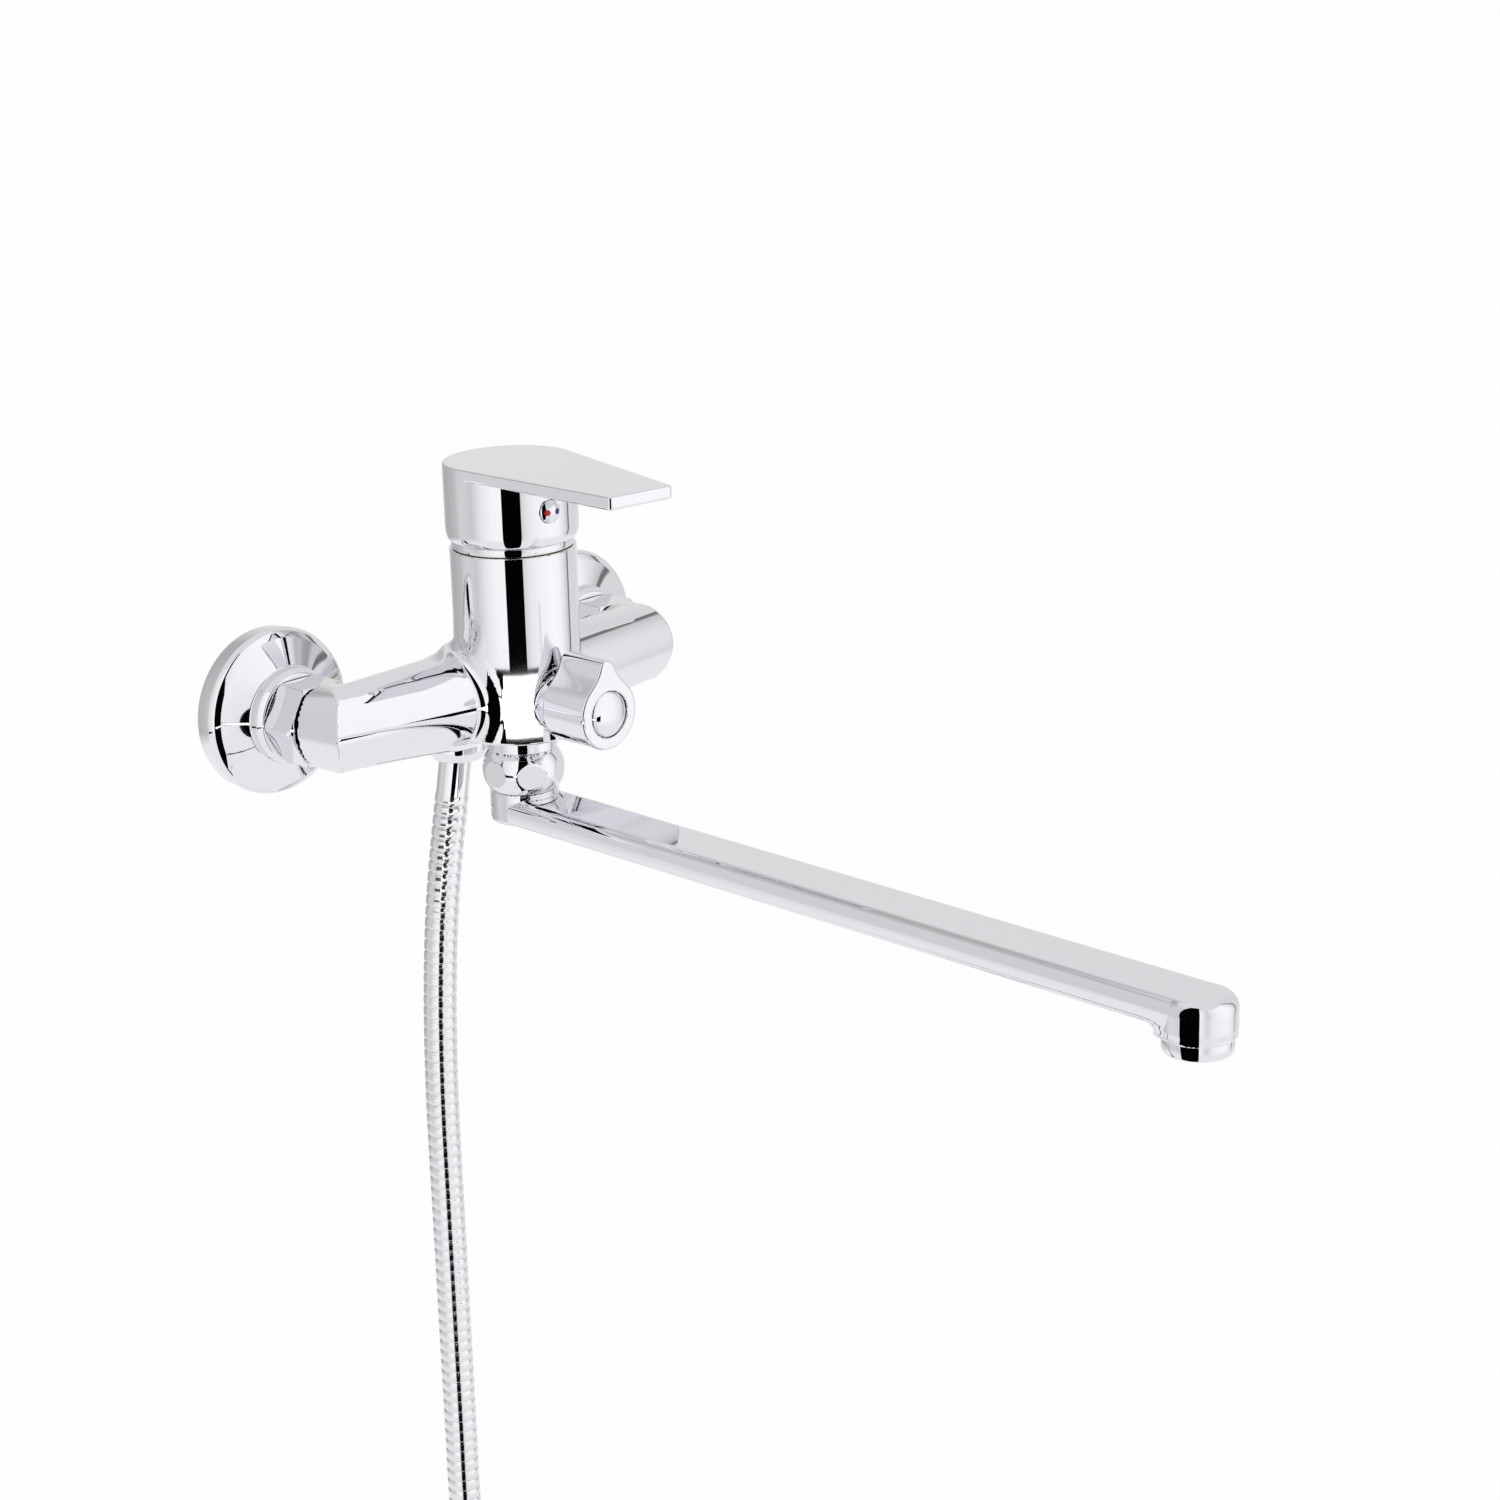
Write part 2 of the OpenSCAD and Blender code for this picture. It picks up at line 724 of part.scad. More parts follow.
module on_end() on_axis() translate([coil_x + coil_r, coil_end_y, coil_z - tail_drop]) children();

module hose_end_ferrule() {
    color(chrome) on_end() difference() {
        rotate_extrude() polygon([[0, 0], [ferrule_r, 0], [ferrule_r, -17.4], [8.6, -18.6], [8.6, -20.2],
            [0, -20.2]]);
        rod(4, -22, 1);
    }
}

module hose_end_nut() {
    color(chrome) on_end() difference() {
        rotate_extrude() polygon([[0, -14.2], [9, -14.2], [12.4, -20.2], [12.4, -31], [12, -31.4],
            [0, -31.4]]);
        rod(ferrule_r + 0.1, -19, -10);
        rod(9, -21, -17.2);
        rod(g12_r + 0.05, -32, -20.4);
    }
}

body();
s_union(-1);  // s_union_left
s_union(1);  // s_union_right
escutcheon(-1);  // escutcheon_left
escutcheon(1);  // escutcheon_right
union_nut(-1);  // union_nut_left
union_nut(1);  // union_nut_right
inlet_tail(-1);  // inlet_tail_left
inlet_tail(1);  // inlet_tail_right
union_washers();
cartridge_housing();
cartridge_seals();
fixed_disc();
moving_disc();
lever_carrier();
pivot_pin();
lever_stem();
cartridge_nut();
neck_ring();
lever();
lever_screw();
indicator_plug();
hot_mark();
cold_mark();
spout();
spout_nut();
spout_clip();
spout_o_rings();
aerator_shell();
aerator_insert();
aerator_washer();
diverter_cartridge();
diverter_stem();
diverter_o_ring();
diverter_knob();
knob_screw();
knob_cap();
outlet_nipple();
check_valve();
hose_washer();
hose_nut();
hose_ferrule();
hose();
hose_coil();
hose_tie();
hose_end_ferrule();
hose_end_nut();
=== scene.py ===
import bpy
import json
import math
import numpy as np
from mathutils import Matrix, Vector

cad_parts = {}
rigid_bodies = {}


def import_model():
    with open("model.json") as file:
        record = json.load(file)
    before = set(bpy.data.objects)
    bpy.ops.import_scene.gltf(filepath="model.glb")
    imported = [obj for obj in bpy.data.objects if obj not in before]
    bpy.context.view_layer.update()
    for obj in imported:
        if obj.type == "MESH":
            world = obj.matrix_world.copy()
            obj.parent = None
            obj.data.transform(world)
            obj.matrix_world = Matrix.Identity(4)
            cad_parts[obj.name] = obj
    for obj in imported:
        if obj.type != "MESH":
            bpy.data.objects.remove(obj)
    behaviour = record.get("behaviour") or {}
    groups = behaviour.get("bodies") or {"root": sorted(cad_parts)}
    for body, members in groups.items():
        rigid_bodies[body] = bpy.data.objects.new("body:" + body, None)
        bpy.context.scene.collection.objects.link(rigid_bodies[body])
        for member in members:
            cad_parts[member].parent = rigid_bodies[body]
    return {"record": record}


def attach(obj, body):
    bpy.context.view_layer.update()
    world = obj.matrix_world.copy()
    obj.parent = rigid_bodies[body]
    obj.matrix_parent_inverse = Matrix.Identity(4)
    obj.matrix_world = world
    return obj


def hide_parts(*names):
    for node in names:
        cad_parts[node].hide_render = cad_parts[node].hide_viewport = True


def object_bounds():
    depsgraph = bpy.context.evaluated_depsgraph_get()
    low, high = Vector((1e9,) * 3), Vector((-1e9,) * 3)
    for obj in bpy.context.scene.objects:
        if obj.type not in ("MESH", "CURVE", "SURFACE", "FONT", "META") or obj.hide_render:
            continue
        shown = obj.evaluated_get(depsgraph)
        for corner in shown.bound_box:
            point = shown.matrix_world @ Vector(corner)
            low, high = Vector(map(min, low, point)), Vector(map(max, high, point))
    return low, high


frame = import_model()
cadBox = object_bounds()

scene = bpy.context.scene
mm = 0.001
axisZ = 7.5         # union nut axis above the wall inlets, mm
columnY = -60.0     # column axis, in front of the wall
armY = -45.0        # arms' axis beside the column
inletX = 75.0       # half the spacing of the inlets
tipY = -379.0       # outlet of the spout
outletY = -22.0     # outlet for the hose


def linearColor(hexText):   # sRGB hex to linear RGBA
    parts = [int(hexText[i:i + 2], 16) / 255 for i in (1, 3, 5)]
    return tuple(c / 12.92 if c <= 0.04045 else ((c + 0.055) / 1.055) ** 2.4 for c in parts) + (1.0,)


def addNode(tree, kind, links=(), **settings):
    # links: (input, socket) pairs, where a node stands for its first output; in_Name sets an input
    node = tree.nodes.new(kind)
    for key, value in settings.items():
        if key.startswith("in_"):
            name = key[3:]
            node.inputs[int(name) if name.isdigit() else name.replace("_", " ")].default_value = value
        else:
            setattr(node, key, value)
    for target, source in links:
        socket = source.outputs[0] if isinstance(source, bpy.types.Node) else source
        tree.links.new(socket, node.inputs[target])
    return node


def meshObject(name, verts, faces, material, normals):   # verts in mm, part frame
    mesh = bpy.data.meshes.new(name)
    verts = np.asarray(verts, dtype=np.float64) * mm
    mesh.from_pydata(verts.tolist(), [], faces if isinstance(faces, list) else faces.tolist())
    mesh.materials.append(material)
    mesh.shade_smooth()
    mesh.normals_split_custom_set_from_vertices(normals.tolist())
    obj = bpy.data.objects.new(name, mesh)
    scene.collection.objects.link(obj)
    return obj


cameraPlace = {
    "location": (-0.79806, -0.96468, 0.36199),
    "tilt": (72.467, 1.403, -45.982),   # degrees
    "lens": 79.31, "sensor": 36, "reach": 20,
}
cameraData = bpy.data.cameras.new("camera")
cameraData.lens = cameraPlace["lens"]
cameraData.sensor_width = cameraPlace["sensor"]
cameraData.clip_end = cameraPlace["reach"]
camera = bpy.data.objects.new("camera", cameraData)
camera.location = cameraPlace["location"]
camera.rotation_euler = [math.radians(a) for a in cameraPlace["tilt"]]
scene.collection.objects.link(camera)
scene.camera = camera
print("camera placed")


def newMaterial(name):
    material = bpy.data.materials.new(name)
    material.use_nodes = True
    tree = material.node_tree
    tree.nodes.clear()
    output = tree.nodes.new("ShaderNodeOutputMaterial")
    shader = tree.nodes.new("ShaderNodeBsdfPrincipled")
    tree.links.new(shader.outputs[0], output.inputs[0])
    return material, tree, shader


chromeLook = {
    "color": "#E8E8EC", "roughness": (0.015, 0.05),
    "wipe": 29.4, "peel": 11.1, "peelHeight": 0.4,   # mm
    "peelStrength": 0.02,
}


def polishedChrome(look):   # chrome plate on polished brass: a mirror with a faint orange peel
    material, tree, shader = newMaterial("polishedChrome")
    shader.inputs["Base Color"].default_value = linearColor(look["color"])
    shader.inputs["Metallic"].default_value = 1
    place = addNode(tree, "ShaderNodeTexCoord")
    wipe = addNode(tree, "ShaderNodeTexNoise", [("Vector", place.outputs["Object"])],
                   in_Scale=1 / (look["wipe"] * mm), in_Detail=3)
    reach = addNode(tree, "ShaderNodeMapRange", [("Value", wipe)],
                    in_To_Min=look["roughness"][0], in_To_Max=look["roughness"][1])
    tree.links.new(reach.outputs[0], shader.inputs["Roughness"])
    peel = addNode(tree, "ShaderNodeTexNoise", [("Vector", place.outputs["Object"])],
                   in_Scale=1 / (look["peel"] * mm), in_Detail=1)
    bump = addNode(tree, "ShaderNodeBump", [("Height", peel)],
                   in_Strength=look["peelStrength"], in_Distance=look["peelHeight"] * mm)
    tree.links.new(bump.outputs[0], shader.inputs["Normal"])
    return material


def grainedFinish(name, hexColor, metallic, roughness, grain, height, spread=0.06):   # grain, height: mm
    material, tree, shader = newMaterial(name)
    place = addNode(tree, "ShaderNodeTexCoord")
    noise = addNode(tree, "ShaderNodeTexNoise", [("Vector", place.outputs["Object"])],
                    in_Scale=1 / (grain * mm), in_Detail=3)
    low = [c * (1 - spread) for c in linearColor(hexColor)[:3]] + [1]
    high = [min(1, c * (1 + spread)) for c in linearColor(hexColor)[:3]] + [1]
    tint = addNode(tree, "ShaderNodeMix", [(0, noise)], data_type="RGBA", in_6=low, in_7=high)
    tree.links.new(tint.outputs[2], shader.inputs["Base Color"])
    shader.inputs["Metallic"].default_value = metallic
    reach = addNode(tree, "ShaderNodeMapRange", [("Value", noise)],
                    in_To_Min=roughness * 0.8, in_To_Max=roughness * 1.2)
    tree.links.new(reach.outputs[0], shader.inputs["Roughness"])
    bump = addNode(tree, "ShaderNodeBump", [("Height", noise)], in_Strength=0.3, in_Distance=height * mm)
    tree.links.new(bump.outputs[0], shader.inputs["Normal"])
    return material


# Grain sizes are as coarse as they need to be to show
chrome = polishedChrome(chromeLook)
turnedBrass = grainedFinish("turnedBrass", "#C9A24E", 1, 0.28, 1.11, 0.05)              # warm, soft sheen
brushedStainless = grainedFinish("brushedStainless", "#A9ABAF", 1, 0.25, 0.714, 0.04)   # darker and duller
mouldedAcetal = grainedFinish("mouldedAcetal", "#E6E6E1", 0, 0.42, 1.43, 0.04, 0.03)    # waxy off-white
lappedAlumina = grainedFinish("lappedAlumina", "#F0EFEA", 0, 0.12, 2, 0.01, 0.02)       # glossy white ceramic
nitrileRubber = grainedFinish("nitrileRubber", "#1E1F21", 0, 0.55, 0.556, 0.06, 0.12)   # matt black
redEnamel = grainedFinish("redEnamel", "#C4131A", 0, 0.15, 2.5, 0.01, 0.03)             # glossy, hot side
blueEnamel = grainedFinish("blueEnamel", "#14207E", 0, 0.15, 2.5, 0.01, 0.03)           # glossy, cold side
chromedStrip = grainedFinish("chromedStrip", "#E6E7E9", 1, 0.12, 1.67, 0.02, 0.03)      # a blurred mirror

nodeFinish = {"chrome": chrome, "brass": turnedBrass, "steel": brushedStainless, "plastic": mouldedAcetal,
              "ceramic": lappedAlumina, "rubber": nitrileRubber, "red": redEnamel, "blue": blueEnamel,
              "hose_steel": chromedStrip}
for part in frame["record"]["subparts"]:
    solid = bpy.data.objects[part["node"]]
    for slot in solid.material_slots:
        slot.material = nodeFinish[part["material_slot"]]
print("materials made")


# Shower hose: hangs from the outlet, then lies in a coil with its end hanging free
hoseSize = {
    "diameter": 13.0, "lean": 11.0, "leanZ": -26.0, "ferrule": 22.3,
    "hang": [(-8.6, -70), (-12, -90), (-14.4, -110), (-16.2, -132), (-17.4, -156), (-18, -182),
             (-18, -214), (-18, -248), (-18, -284), (-18, -320), (-18, -350)],
    "coilX": -18.0, "coilStart": -350.0, "coilRadius": 75.0, "turns": 2 + 1 / 6, "gap": 0.5, "tail": 48.0,
    "step": 1.2, "sides": 22, "crown": 0.06,
}
hoseBands = {"Pitch": 4.55, "Radius": 6.5, "Band Step": 0.45, "Groove": 0.85}   # the tree's inputs, mm
wideBand, grooveEnd, crownSpan = 0.70, 0.79, 0.72   # shares of one pitch


def hoseRoute():   # centreline from the first ferrule to the far one, mm in the part frame
    s = hoseSize
    lean = math.radians(s["lean"])
    route = [(-s["ferrule"] * math.sin(lean), outletY, s["leanZ"] - s["ferrule"] * math.cos(lean))]
    route += [(x, outletY, z) for x, z in s["hang"]]
    radius, step = s["coilRadius"], s["diameter"] + s["gap"]
    coilZ = s["coilStart"] - math.sqrt(3) * radius
    for k in range(1, 6):   # an arc of 60 degrees leads into the coil
        a = math.radians(12 * k)
        route.append((s["coilX"] + radius * (1 - math.cos(a)), outletY,
                      coilZ + radius * (math.sqrt(3) - math.sin(a))))
    count = int(s["turns"] * 24)   # points, 24 a turn
    for k in range(1, count + 1):
        turn = s["turns"] * k / count
        a = math.radians(60 - 360 * turn)
        route.append((s["coilX"] + radius * math.cos(a), outletY - step * turn,
                      coilZ + radius * math.sin(a)))
    endY = outletY - step * s["turns"]
    route += [(s["coilX"] + radius, endY, coilZ - s["tail"] * k / 3) for k in (1, 2, 3)]
    return np.array(route) + (0, 0, axisZ)


def smoothRoute(points, step):   # Catmull-Rom through the points, then even spacing
    padded = np.vstack([2 * points[0] - points[1], points, 2 * points[-1] - points[-2]])
    fine = []
    for i in range(len(points) - 1):
        a, b, c, d = padded[i:i + 4]
        for t in np.linspace(0, 1, 16, endpoint=False):
            fine.append(0.5 * (2 * b + (c - a) * t + (2 * a - 5 * b + 4 * c - d) * t * t
                               + (3 * b - a - 3 * c + d) * t ** 3))
    fine = np.array(fine + [points[-1]])
    run = np.concatenate([[0], np.cumsum(np.linalg.norm(np.diff(fine, axis=0), axis=1))])
    count = int(round(run[-1] / step))
    at = np.linspace(0, run[-1], count + 1)
    return np.stack([np.interp(at, run, fine[:, k]) for k in range(3)], axis=1), run[-1]


def hoseTree(material):   # a wound strip: wide and narrow bands follow each other along the line
    tree = bpy.data.node_groups.new("interlockedHose", "GeometryNodeTree")
    sockets = tree.interface
    sockets.new_socket("Geometry", in_out="INPUT", socket_type="NodeSocketGeometry")
    for name in hoseBands:
        sockets.new_socket(name, in_out="INPUT", socket_type="NodeSocketFloat")
    sockets.new_socket("Geometry", in_out="OUTPUT", socket_type="NodeSocketGeometry")
    given = addNode(tree, "NodeGroupInput")
    pitch, outer, bandStep, depth = (given.outputs[name] for name in hoseBands)
    step = addNode(tree, "ShaderNodeMath", [(0, pitch)], operation="DIVIDE", in_1=12)
    even = addNode(tree, "GeometryNodeResampleCurve", [("Curve", given), ("Length", step)], mode="LENGTH")
    along = addNode(tree, "GeometryNodeSplineParameter")
    wound = addNode(tree, "ShaderNodeMath", [(0, along.outputs["Length"]), (1, pitch)], operation="DIVIDE")
    phase = addNode(tree, "ShaderNodeMath", [(0, wound)], operation="FRACT")
    narrow = addNode(tree, "ShaderNodeMath", [(0, phase)], operation="GREATER_THAN", in_1=wideBand)
    early = addNode(tree, "ShaderNodeMath", [(0, phase)], operation="LESS_THAN", in_1=grooveEnd)
    groove = addNode(tree, "ShaderNodeMath", [(0, narrow), (1, early)], operation="MULTIPLY")
    down = addNode(tree, "ShaderNodeMath", [(0, narrow), (1, bandStep)], operation="MULTIPLY")
    deeper = addNode(tree, "ShaderNodeMath", [(0, depth), (1, bandStep)], operation="SUBTRACT")
    cutIn = addNode(tree, "ShaderNodeMath", [(0, groove), (1, deeper)], operation="MULTIPLY")
    arc = addNode(tree, "ShaderNodeMath", [(0, phase)], operation="MULTIPLY", in_1=math.pi / crownSpan)
    swell = addNode(tree, "ShaderNodeMath", [(0, arc)], operation="SINE")
    crown = addNode(tree, "ShaderNodeMath", [(0, swell)], operation="MULTIPLY", in_1=hoseSize["crown"] * mm)
    banded = addNode(tree, "ShaderNodeMath", [(0, outer), (1, down)], operation="SUBTRACT")
    grooved = addNode(tree, "ShaderNodeMath", [(0, banded), (1, cutIn)], operation="SUBTRACT")
    radius = addNode(tree, "ShaderNodeMath", [(0, grooved), (1, crown)], operation="ADD")
    ring = addNode(tree, "GeometryNodeCurvePrimitiveCircle", in_Resolution=hoseSize["sides"], in_Radius=1.0)
    swept = addNode(tree, "GeometryNodeCurveToMesh",
                    [("Curve", even), ("Scale", radius), ("Profile Curve", ring)], in_Fill_Caps=True)
    smooth = addNode(tree, "GeometryNodeSetShadeSmooth", [("Geometry", swept)])
    whole = addNode(tree, "GeometryNodeRealizeInstances", [("Geometry", smooth)])
    finish = addNode(tree, "GeometryNodeSetMaterial", [("Geometry", whole)], in_Material=material)
    addNode(tree, "NodeGroupOutput", [(0, finish)])
    return tree


def fromNodes(name, source, tree, inputs):   # run a Geometry Nodes tree and keep its plain mesh
    modifier = source.modifiers.new("shape", "NODES")
    modifier.node_group = tree
    for item in tree.interface.items_tree:
        if item.item_type == "SOCKET" and item.in_out == "INPUT" and item.name in inputs:
            modifier[item.identifier] = inputs[item.name]
    ready = source.evaluated_get(bpy.context.evaluated_depsgraph_get())
    mesh = bpy.data.meshes.new_from_object(ready)
    source.modifiers.remove(modifier)
    mesh.name = name
    obj = bpy.data.objects.new(name, mesh)
    scene.collection.objects.link(obj)
    return obj


hoseLine, hoseLength = smoothRoute(hoseRoute(), hoseSize["step"])
curveData = bpy.data.curves.new("hoseLine", "CURVE")
curveData.dimensions = "3D"
spline = curveData.splines.new("POLY")
spline.points.add(len(hoseLine) - 1)
spline.points.foreach_set("co", np.hstack([hoseLine * mm, np.ones((len(hoseLine), 1))]).ravel())
guide = bpy.data.objects.new("hoseGuide", curveData)
scene.collection.objects.link(guide)
hosePiece = fromNodes("showerHose", guide, hoseTree(chromedStrip), {n: v * mm for n, v in hoseBands.items()})
bpy.data.objects.remove(guide)
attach(hosePiece, "faucet_body")
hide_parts("hose", "hose_coil")
hosePath = [[c * mm for c in p] for p in hoseLine[::3].tolist()]
hosePath.append([c * mm for c in hoseLine[-1].tolist()])
print("hose", round(hoseLength), "mm,", len(hosePiece.data.polygons), "faces")


def blend(a, b, radius):   # union with a true fillet
    u, v = np.maximum(radius - a, 0), np.maximum(radius - b, 0)
    return np.maximum(radius, np.minimum(a, b)) - np.hypot(u, v)


def common(a, b, radius=0.0):   # intersection with a rounded edge
    if radius == 0:
        return np.maximum(a, b)
    u, v = np.maximum(radius + a, 0), np.maximum(radius + b, 0)
    return np.minimum(-radius, np.maximum(a, b)) + np.hypot(u, v)


def less(a, b, radius=0.0):   # a without b
    return common(a, -b, radius)


def slab(c, low, high):   # between two parallel planes
    return np.abs(c - (low + high) / 2) - (high - low) / 2


def skin(field, low, high, step):   # surface nets, then each point is moved onto the true surface
    axes = [np.arange(l, h + step, step) for l, h in zip(low, high)]
    grid = np.meshgrid(*axes, indexing="ij")
    value = field(*grid)
    inside = value < 0
    shape = np.array(value.shape) - 1
    corners = [(i, j, k) for i in (0, 1) for j in (0, 1) for k in (0, 1)]
    total = np.zeros(tuple(shape), dtype=np.int8)
    for i, j, k in corners:
        total += inside[i:i + shape[0], j:j + shape[1], k:k + shape[2]]
    cells = np.argwhere((total > 0) & (total < 8))
    index = -np.ones(tuple(shape), dtype=np.int64)
    index[tuple(cells.T)] = np.arange(len(cells))
    point, hits = np.zeros((len(cells), 3)), np.zeros(len(cells))
    for axis in range(3):
        for c in corners:
            if c[axis]:
                continue
            d = list(c)
            d[axis] = 1
            a = value[tuple((cells + c).T)]
            b = value[tuple((cells + d).T)]
            cross = (a < 0) != (b < 0)
            t = np.where(cross, a / np.where(cross, a - b, 1), 0)
            spot = np.array(c, dtype=float)[None, :].repeat(len(cells), 0)
            spot[:, axis] = t
            point += spot * cross[:, None]
            hits += cross
    point = (cells + point / hits[:, None]) * step + np.array([a[0] for a in axes])
    quads = []
    for axis in range(3):
        u, v = (axis + 1) % 3, (axis + 2) % 3
        first = [slice(None)] * 3
        second = [slice(None)] * 3
        first[axis], second[axis] = slice(0, -1), slice(1, None)
        a, b = inside[tuple(first)], inside[tuple(second)]
        for flip in (False, True):
            edge = np.argwhere(b & ~a if flip else a & ~b)
            edge = edge[(edge[:, u] > 0) & (edge[:, v] > 0)]
            edge = edge[(edge[:, u] < shape[u]) & (edge[:, v] < shape[v])]
            touching = []
            for du, dv in ((1, 1), (0, 1), (0, 0), (1, 0)):
                cell = edge.copy()
                cell[:, u] -= du
                cell[:, v] -= dv
                touching.append(index[tuple(cell.T)])
            ring = np.stack(touching, 1)
            quads.append(ring[:, ::-1] if flip else ring)
    quads = np.vstack(quads)
    eps = step * 0.02
    for _ in range(4):
        f = field(*point.T)
        slope = np.stack([(field(*(point + eps * e).T) - field(*(point - eps * e).T)) / (2 * eps)
                          for e in np.eye(3)], 1)
        size = np.maximum((slope ** 2).sum(1), 0.05)
        move = -(f / size)[:, None] * slope
        far = np.linalg.norm(move, axis=1)
        move *= np.minimum(1, 0.5 * step / np.maximum(far, 1e-9))[:, None]
        point += move
    return point, quads, slope / np.maximum(np.linalg.norm(slope, axis=1), 1e-9)[:, None]


def chromePiece(obj, body, *nodes):
    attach(obj, body)
    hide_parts(*nodes)
    print(obj.name, len(obj.data.polygons), "faces")


def fieldPiece(name, field, low, high, step, body, *nodes):
    point, quads, normals = skin(field, low, high, step)
    chromePiece(meshObject(name, point, quads, chrome, normals), body, *nodes)


def roundedOutline(points, corner, segments=3):
    # Rounds the corners of a closed (radius, height) outline; a third number is that corner's own radius
    rounded, count = [], len(points)
    for i, point in enumerate(points):
        here = np.array(point[:2], dtype=float)
        before = np.array(points[i - 1][:2]) - here
        after = np.array(points[(i + 1) % count][:2]) - here
        size = point[2] if len(point) > 2 else corner
        lb, la = np.linalg.norm(before), np.linalg.norm(after)
        b, a = before / lb, after / la
        half = math.acos(np.clip(b @ a, -1, 1)) / 2
        if size == 0 or half > 1.55 or here[0] < 1e-6:
            rounded.append(here)
            continue
        reach = min(size / math.tan(half), 0.45 * lb, 0.45 * la)
        size = reach * math.tan(half)
        centre = here + (b + a) / np.linalg.norm(b + a) * size / math.sin(half)
        start, end = here + b * reach - centre, here + a * reach - centre
        turn = math.atan2(start[0] * end[1] - start[1] * end[0], start @ end)
        for k in range(segments + 1):
            c, d = math.cos(turn * k / segments), math.sin(turn * k / segments)
            rounded.append(centre + (c * start[0] - d * start[1], d * start[0] + c * start[1]))
    return np.array(rounded)


def lathe(name, outline, origin, axis, body, *nodes, sides=96, corner=0.4):
    # Turn a closed (radius, height) outline about an axis; the outline keeps the metal on its left
    line = roundedOutline(outline, corner)
    ahead, back = np.roll(line, -1, 0) - line, line - np.roll(line, 1, 0)
    along = ahead / np.maximum(np.linalg.norm(ahead, axis=1), 1e-9)[:, None] \
        + back / np.maximum(np.linalg.norm(back, axis=1), 1e-9)[:, None]
    flat = np.stack([along[:, 1], -along[:, 0]], 1)
    flat /= np.maximum(np.linalg.norm(flat, axis=1), 1e-9)[:, None]
    up = Vector(axis).normalized()
    side = up.orthogonal().normalized()
    side, other, up = (np.array(v) for v in (side, up.cross(side), up))
    verts, normals, rows = [], [], []
    for (r, h), (nr, nh) in zip(line, flat):
        if r < 1e-6:
            rows.append([len(verts)] * sides)
            verts.append(np.array(origin) + h * up)
            normals.append(up * (1 if nh >= 0 else -1))
            continue
        rows.append(list(range(len(verts), len(verts) + sides)))
        for k in range(sides):
            a = 2 * math.pi * k / sides
            out = math.cos(a) * side + math.sin(a) * other
            verts.append(np.array(origin) + r * out + h * up)
            normals.append(nr * out + nh * up)
    faces = []
    for i in range(len(rows)):
        one, two = rows[i], rows[(i + 1) % len(rows)]
        for k in range(sides):
            n = (k + 1) % sides
            face = list(dict.fromkeys((one[k], one[n], two[n], two[k])))
            if len(face) > 2:
                faces.append(face)
    chromePiece(meshObject(name, verts, faces, chrome, np.array(normals)), body, *nodes)


# Cast body: column, tapered arms swept to mitred elbows, boss for the diverter and one for the hose
bodySize = {
    "column": 24.0, "top": 58.0, "bottom": -14.5,
    "armRoot": 18.6, "armEnd": 16.0, "inset": 0.4, "armStart": 20.0, "armLean": 5.0,
    "fillet": 12.0, "frontFillet": 3.0, "fade": 8.0, "fadeFrom": -62.0, "fadeOver": 14.0,
    "corner": (85.75, -56.25), "face": 20.5, "sweep": 8.5,   # the flatter outer faces
    "socket": 17.6, "socketStart": -36.5, "boss": 11.2, "bossRise": 0.5, "bossFace": -86.3,
    "outletBoss": 12.5, "outletTop": 6.0, "outletEnd": -22.0,
    "nipple": 12.4, "nippleEnd": -33.0, "collarRoom": 13.8,
    "seat": 20.1, "seatFloor": 28.0, "thread": 21.7, "threadStart": 50.0,
    "spoutBore": 9.6, "hoseBore": 9.5, "boreTop": -9.0,
    "inletBore": 9.2, "inletBoreEnd": -46.0, "diverterBore": 8.6, "diverterBoreStart": -66.0,
}


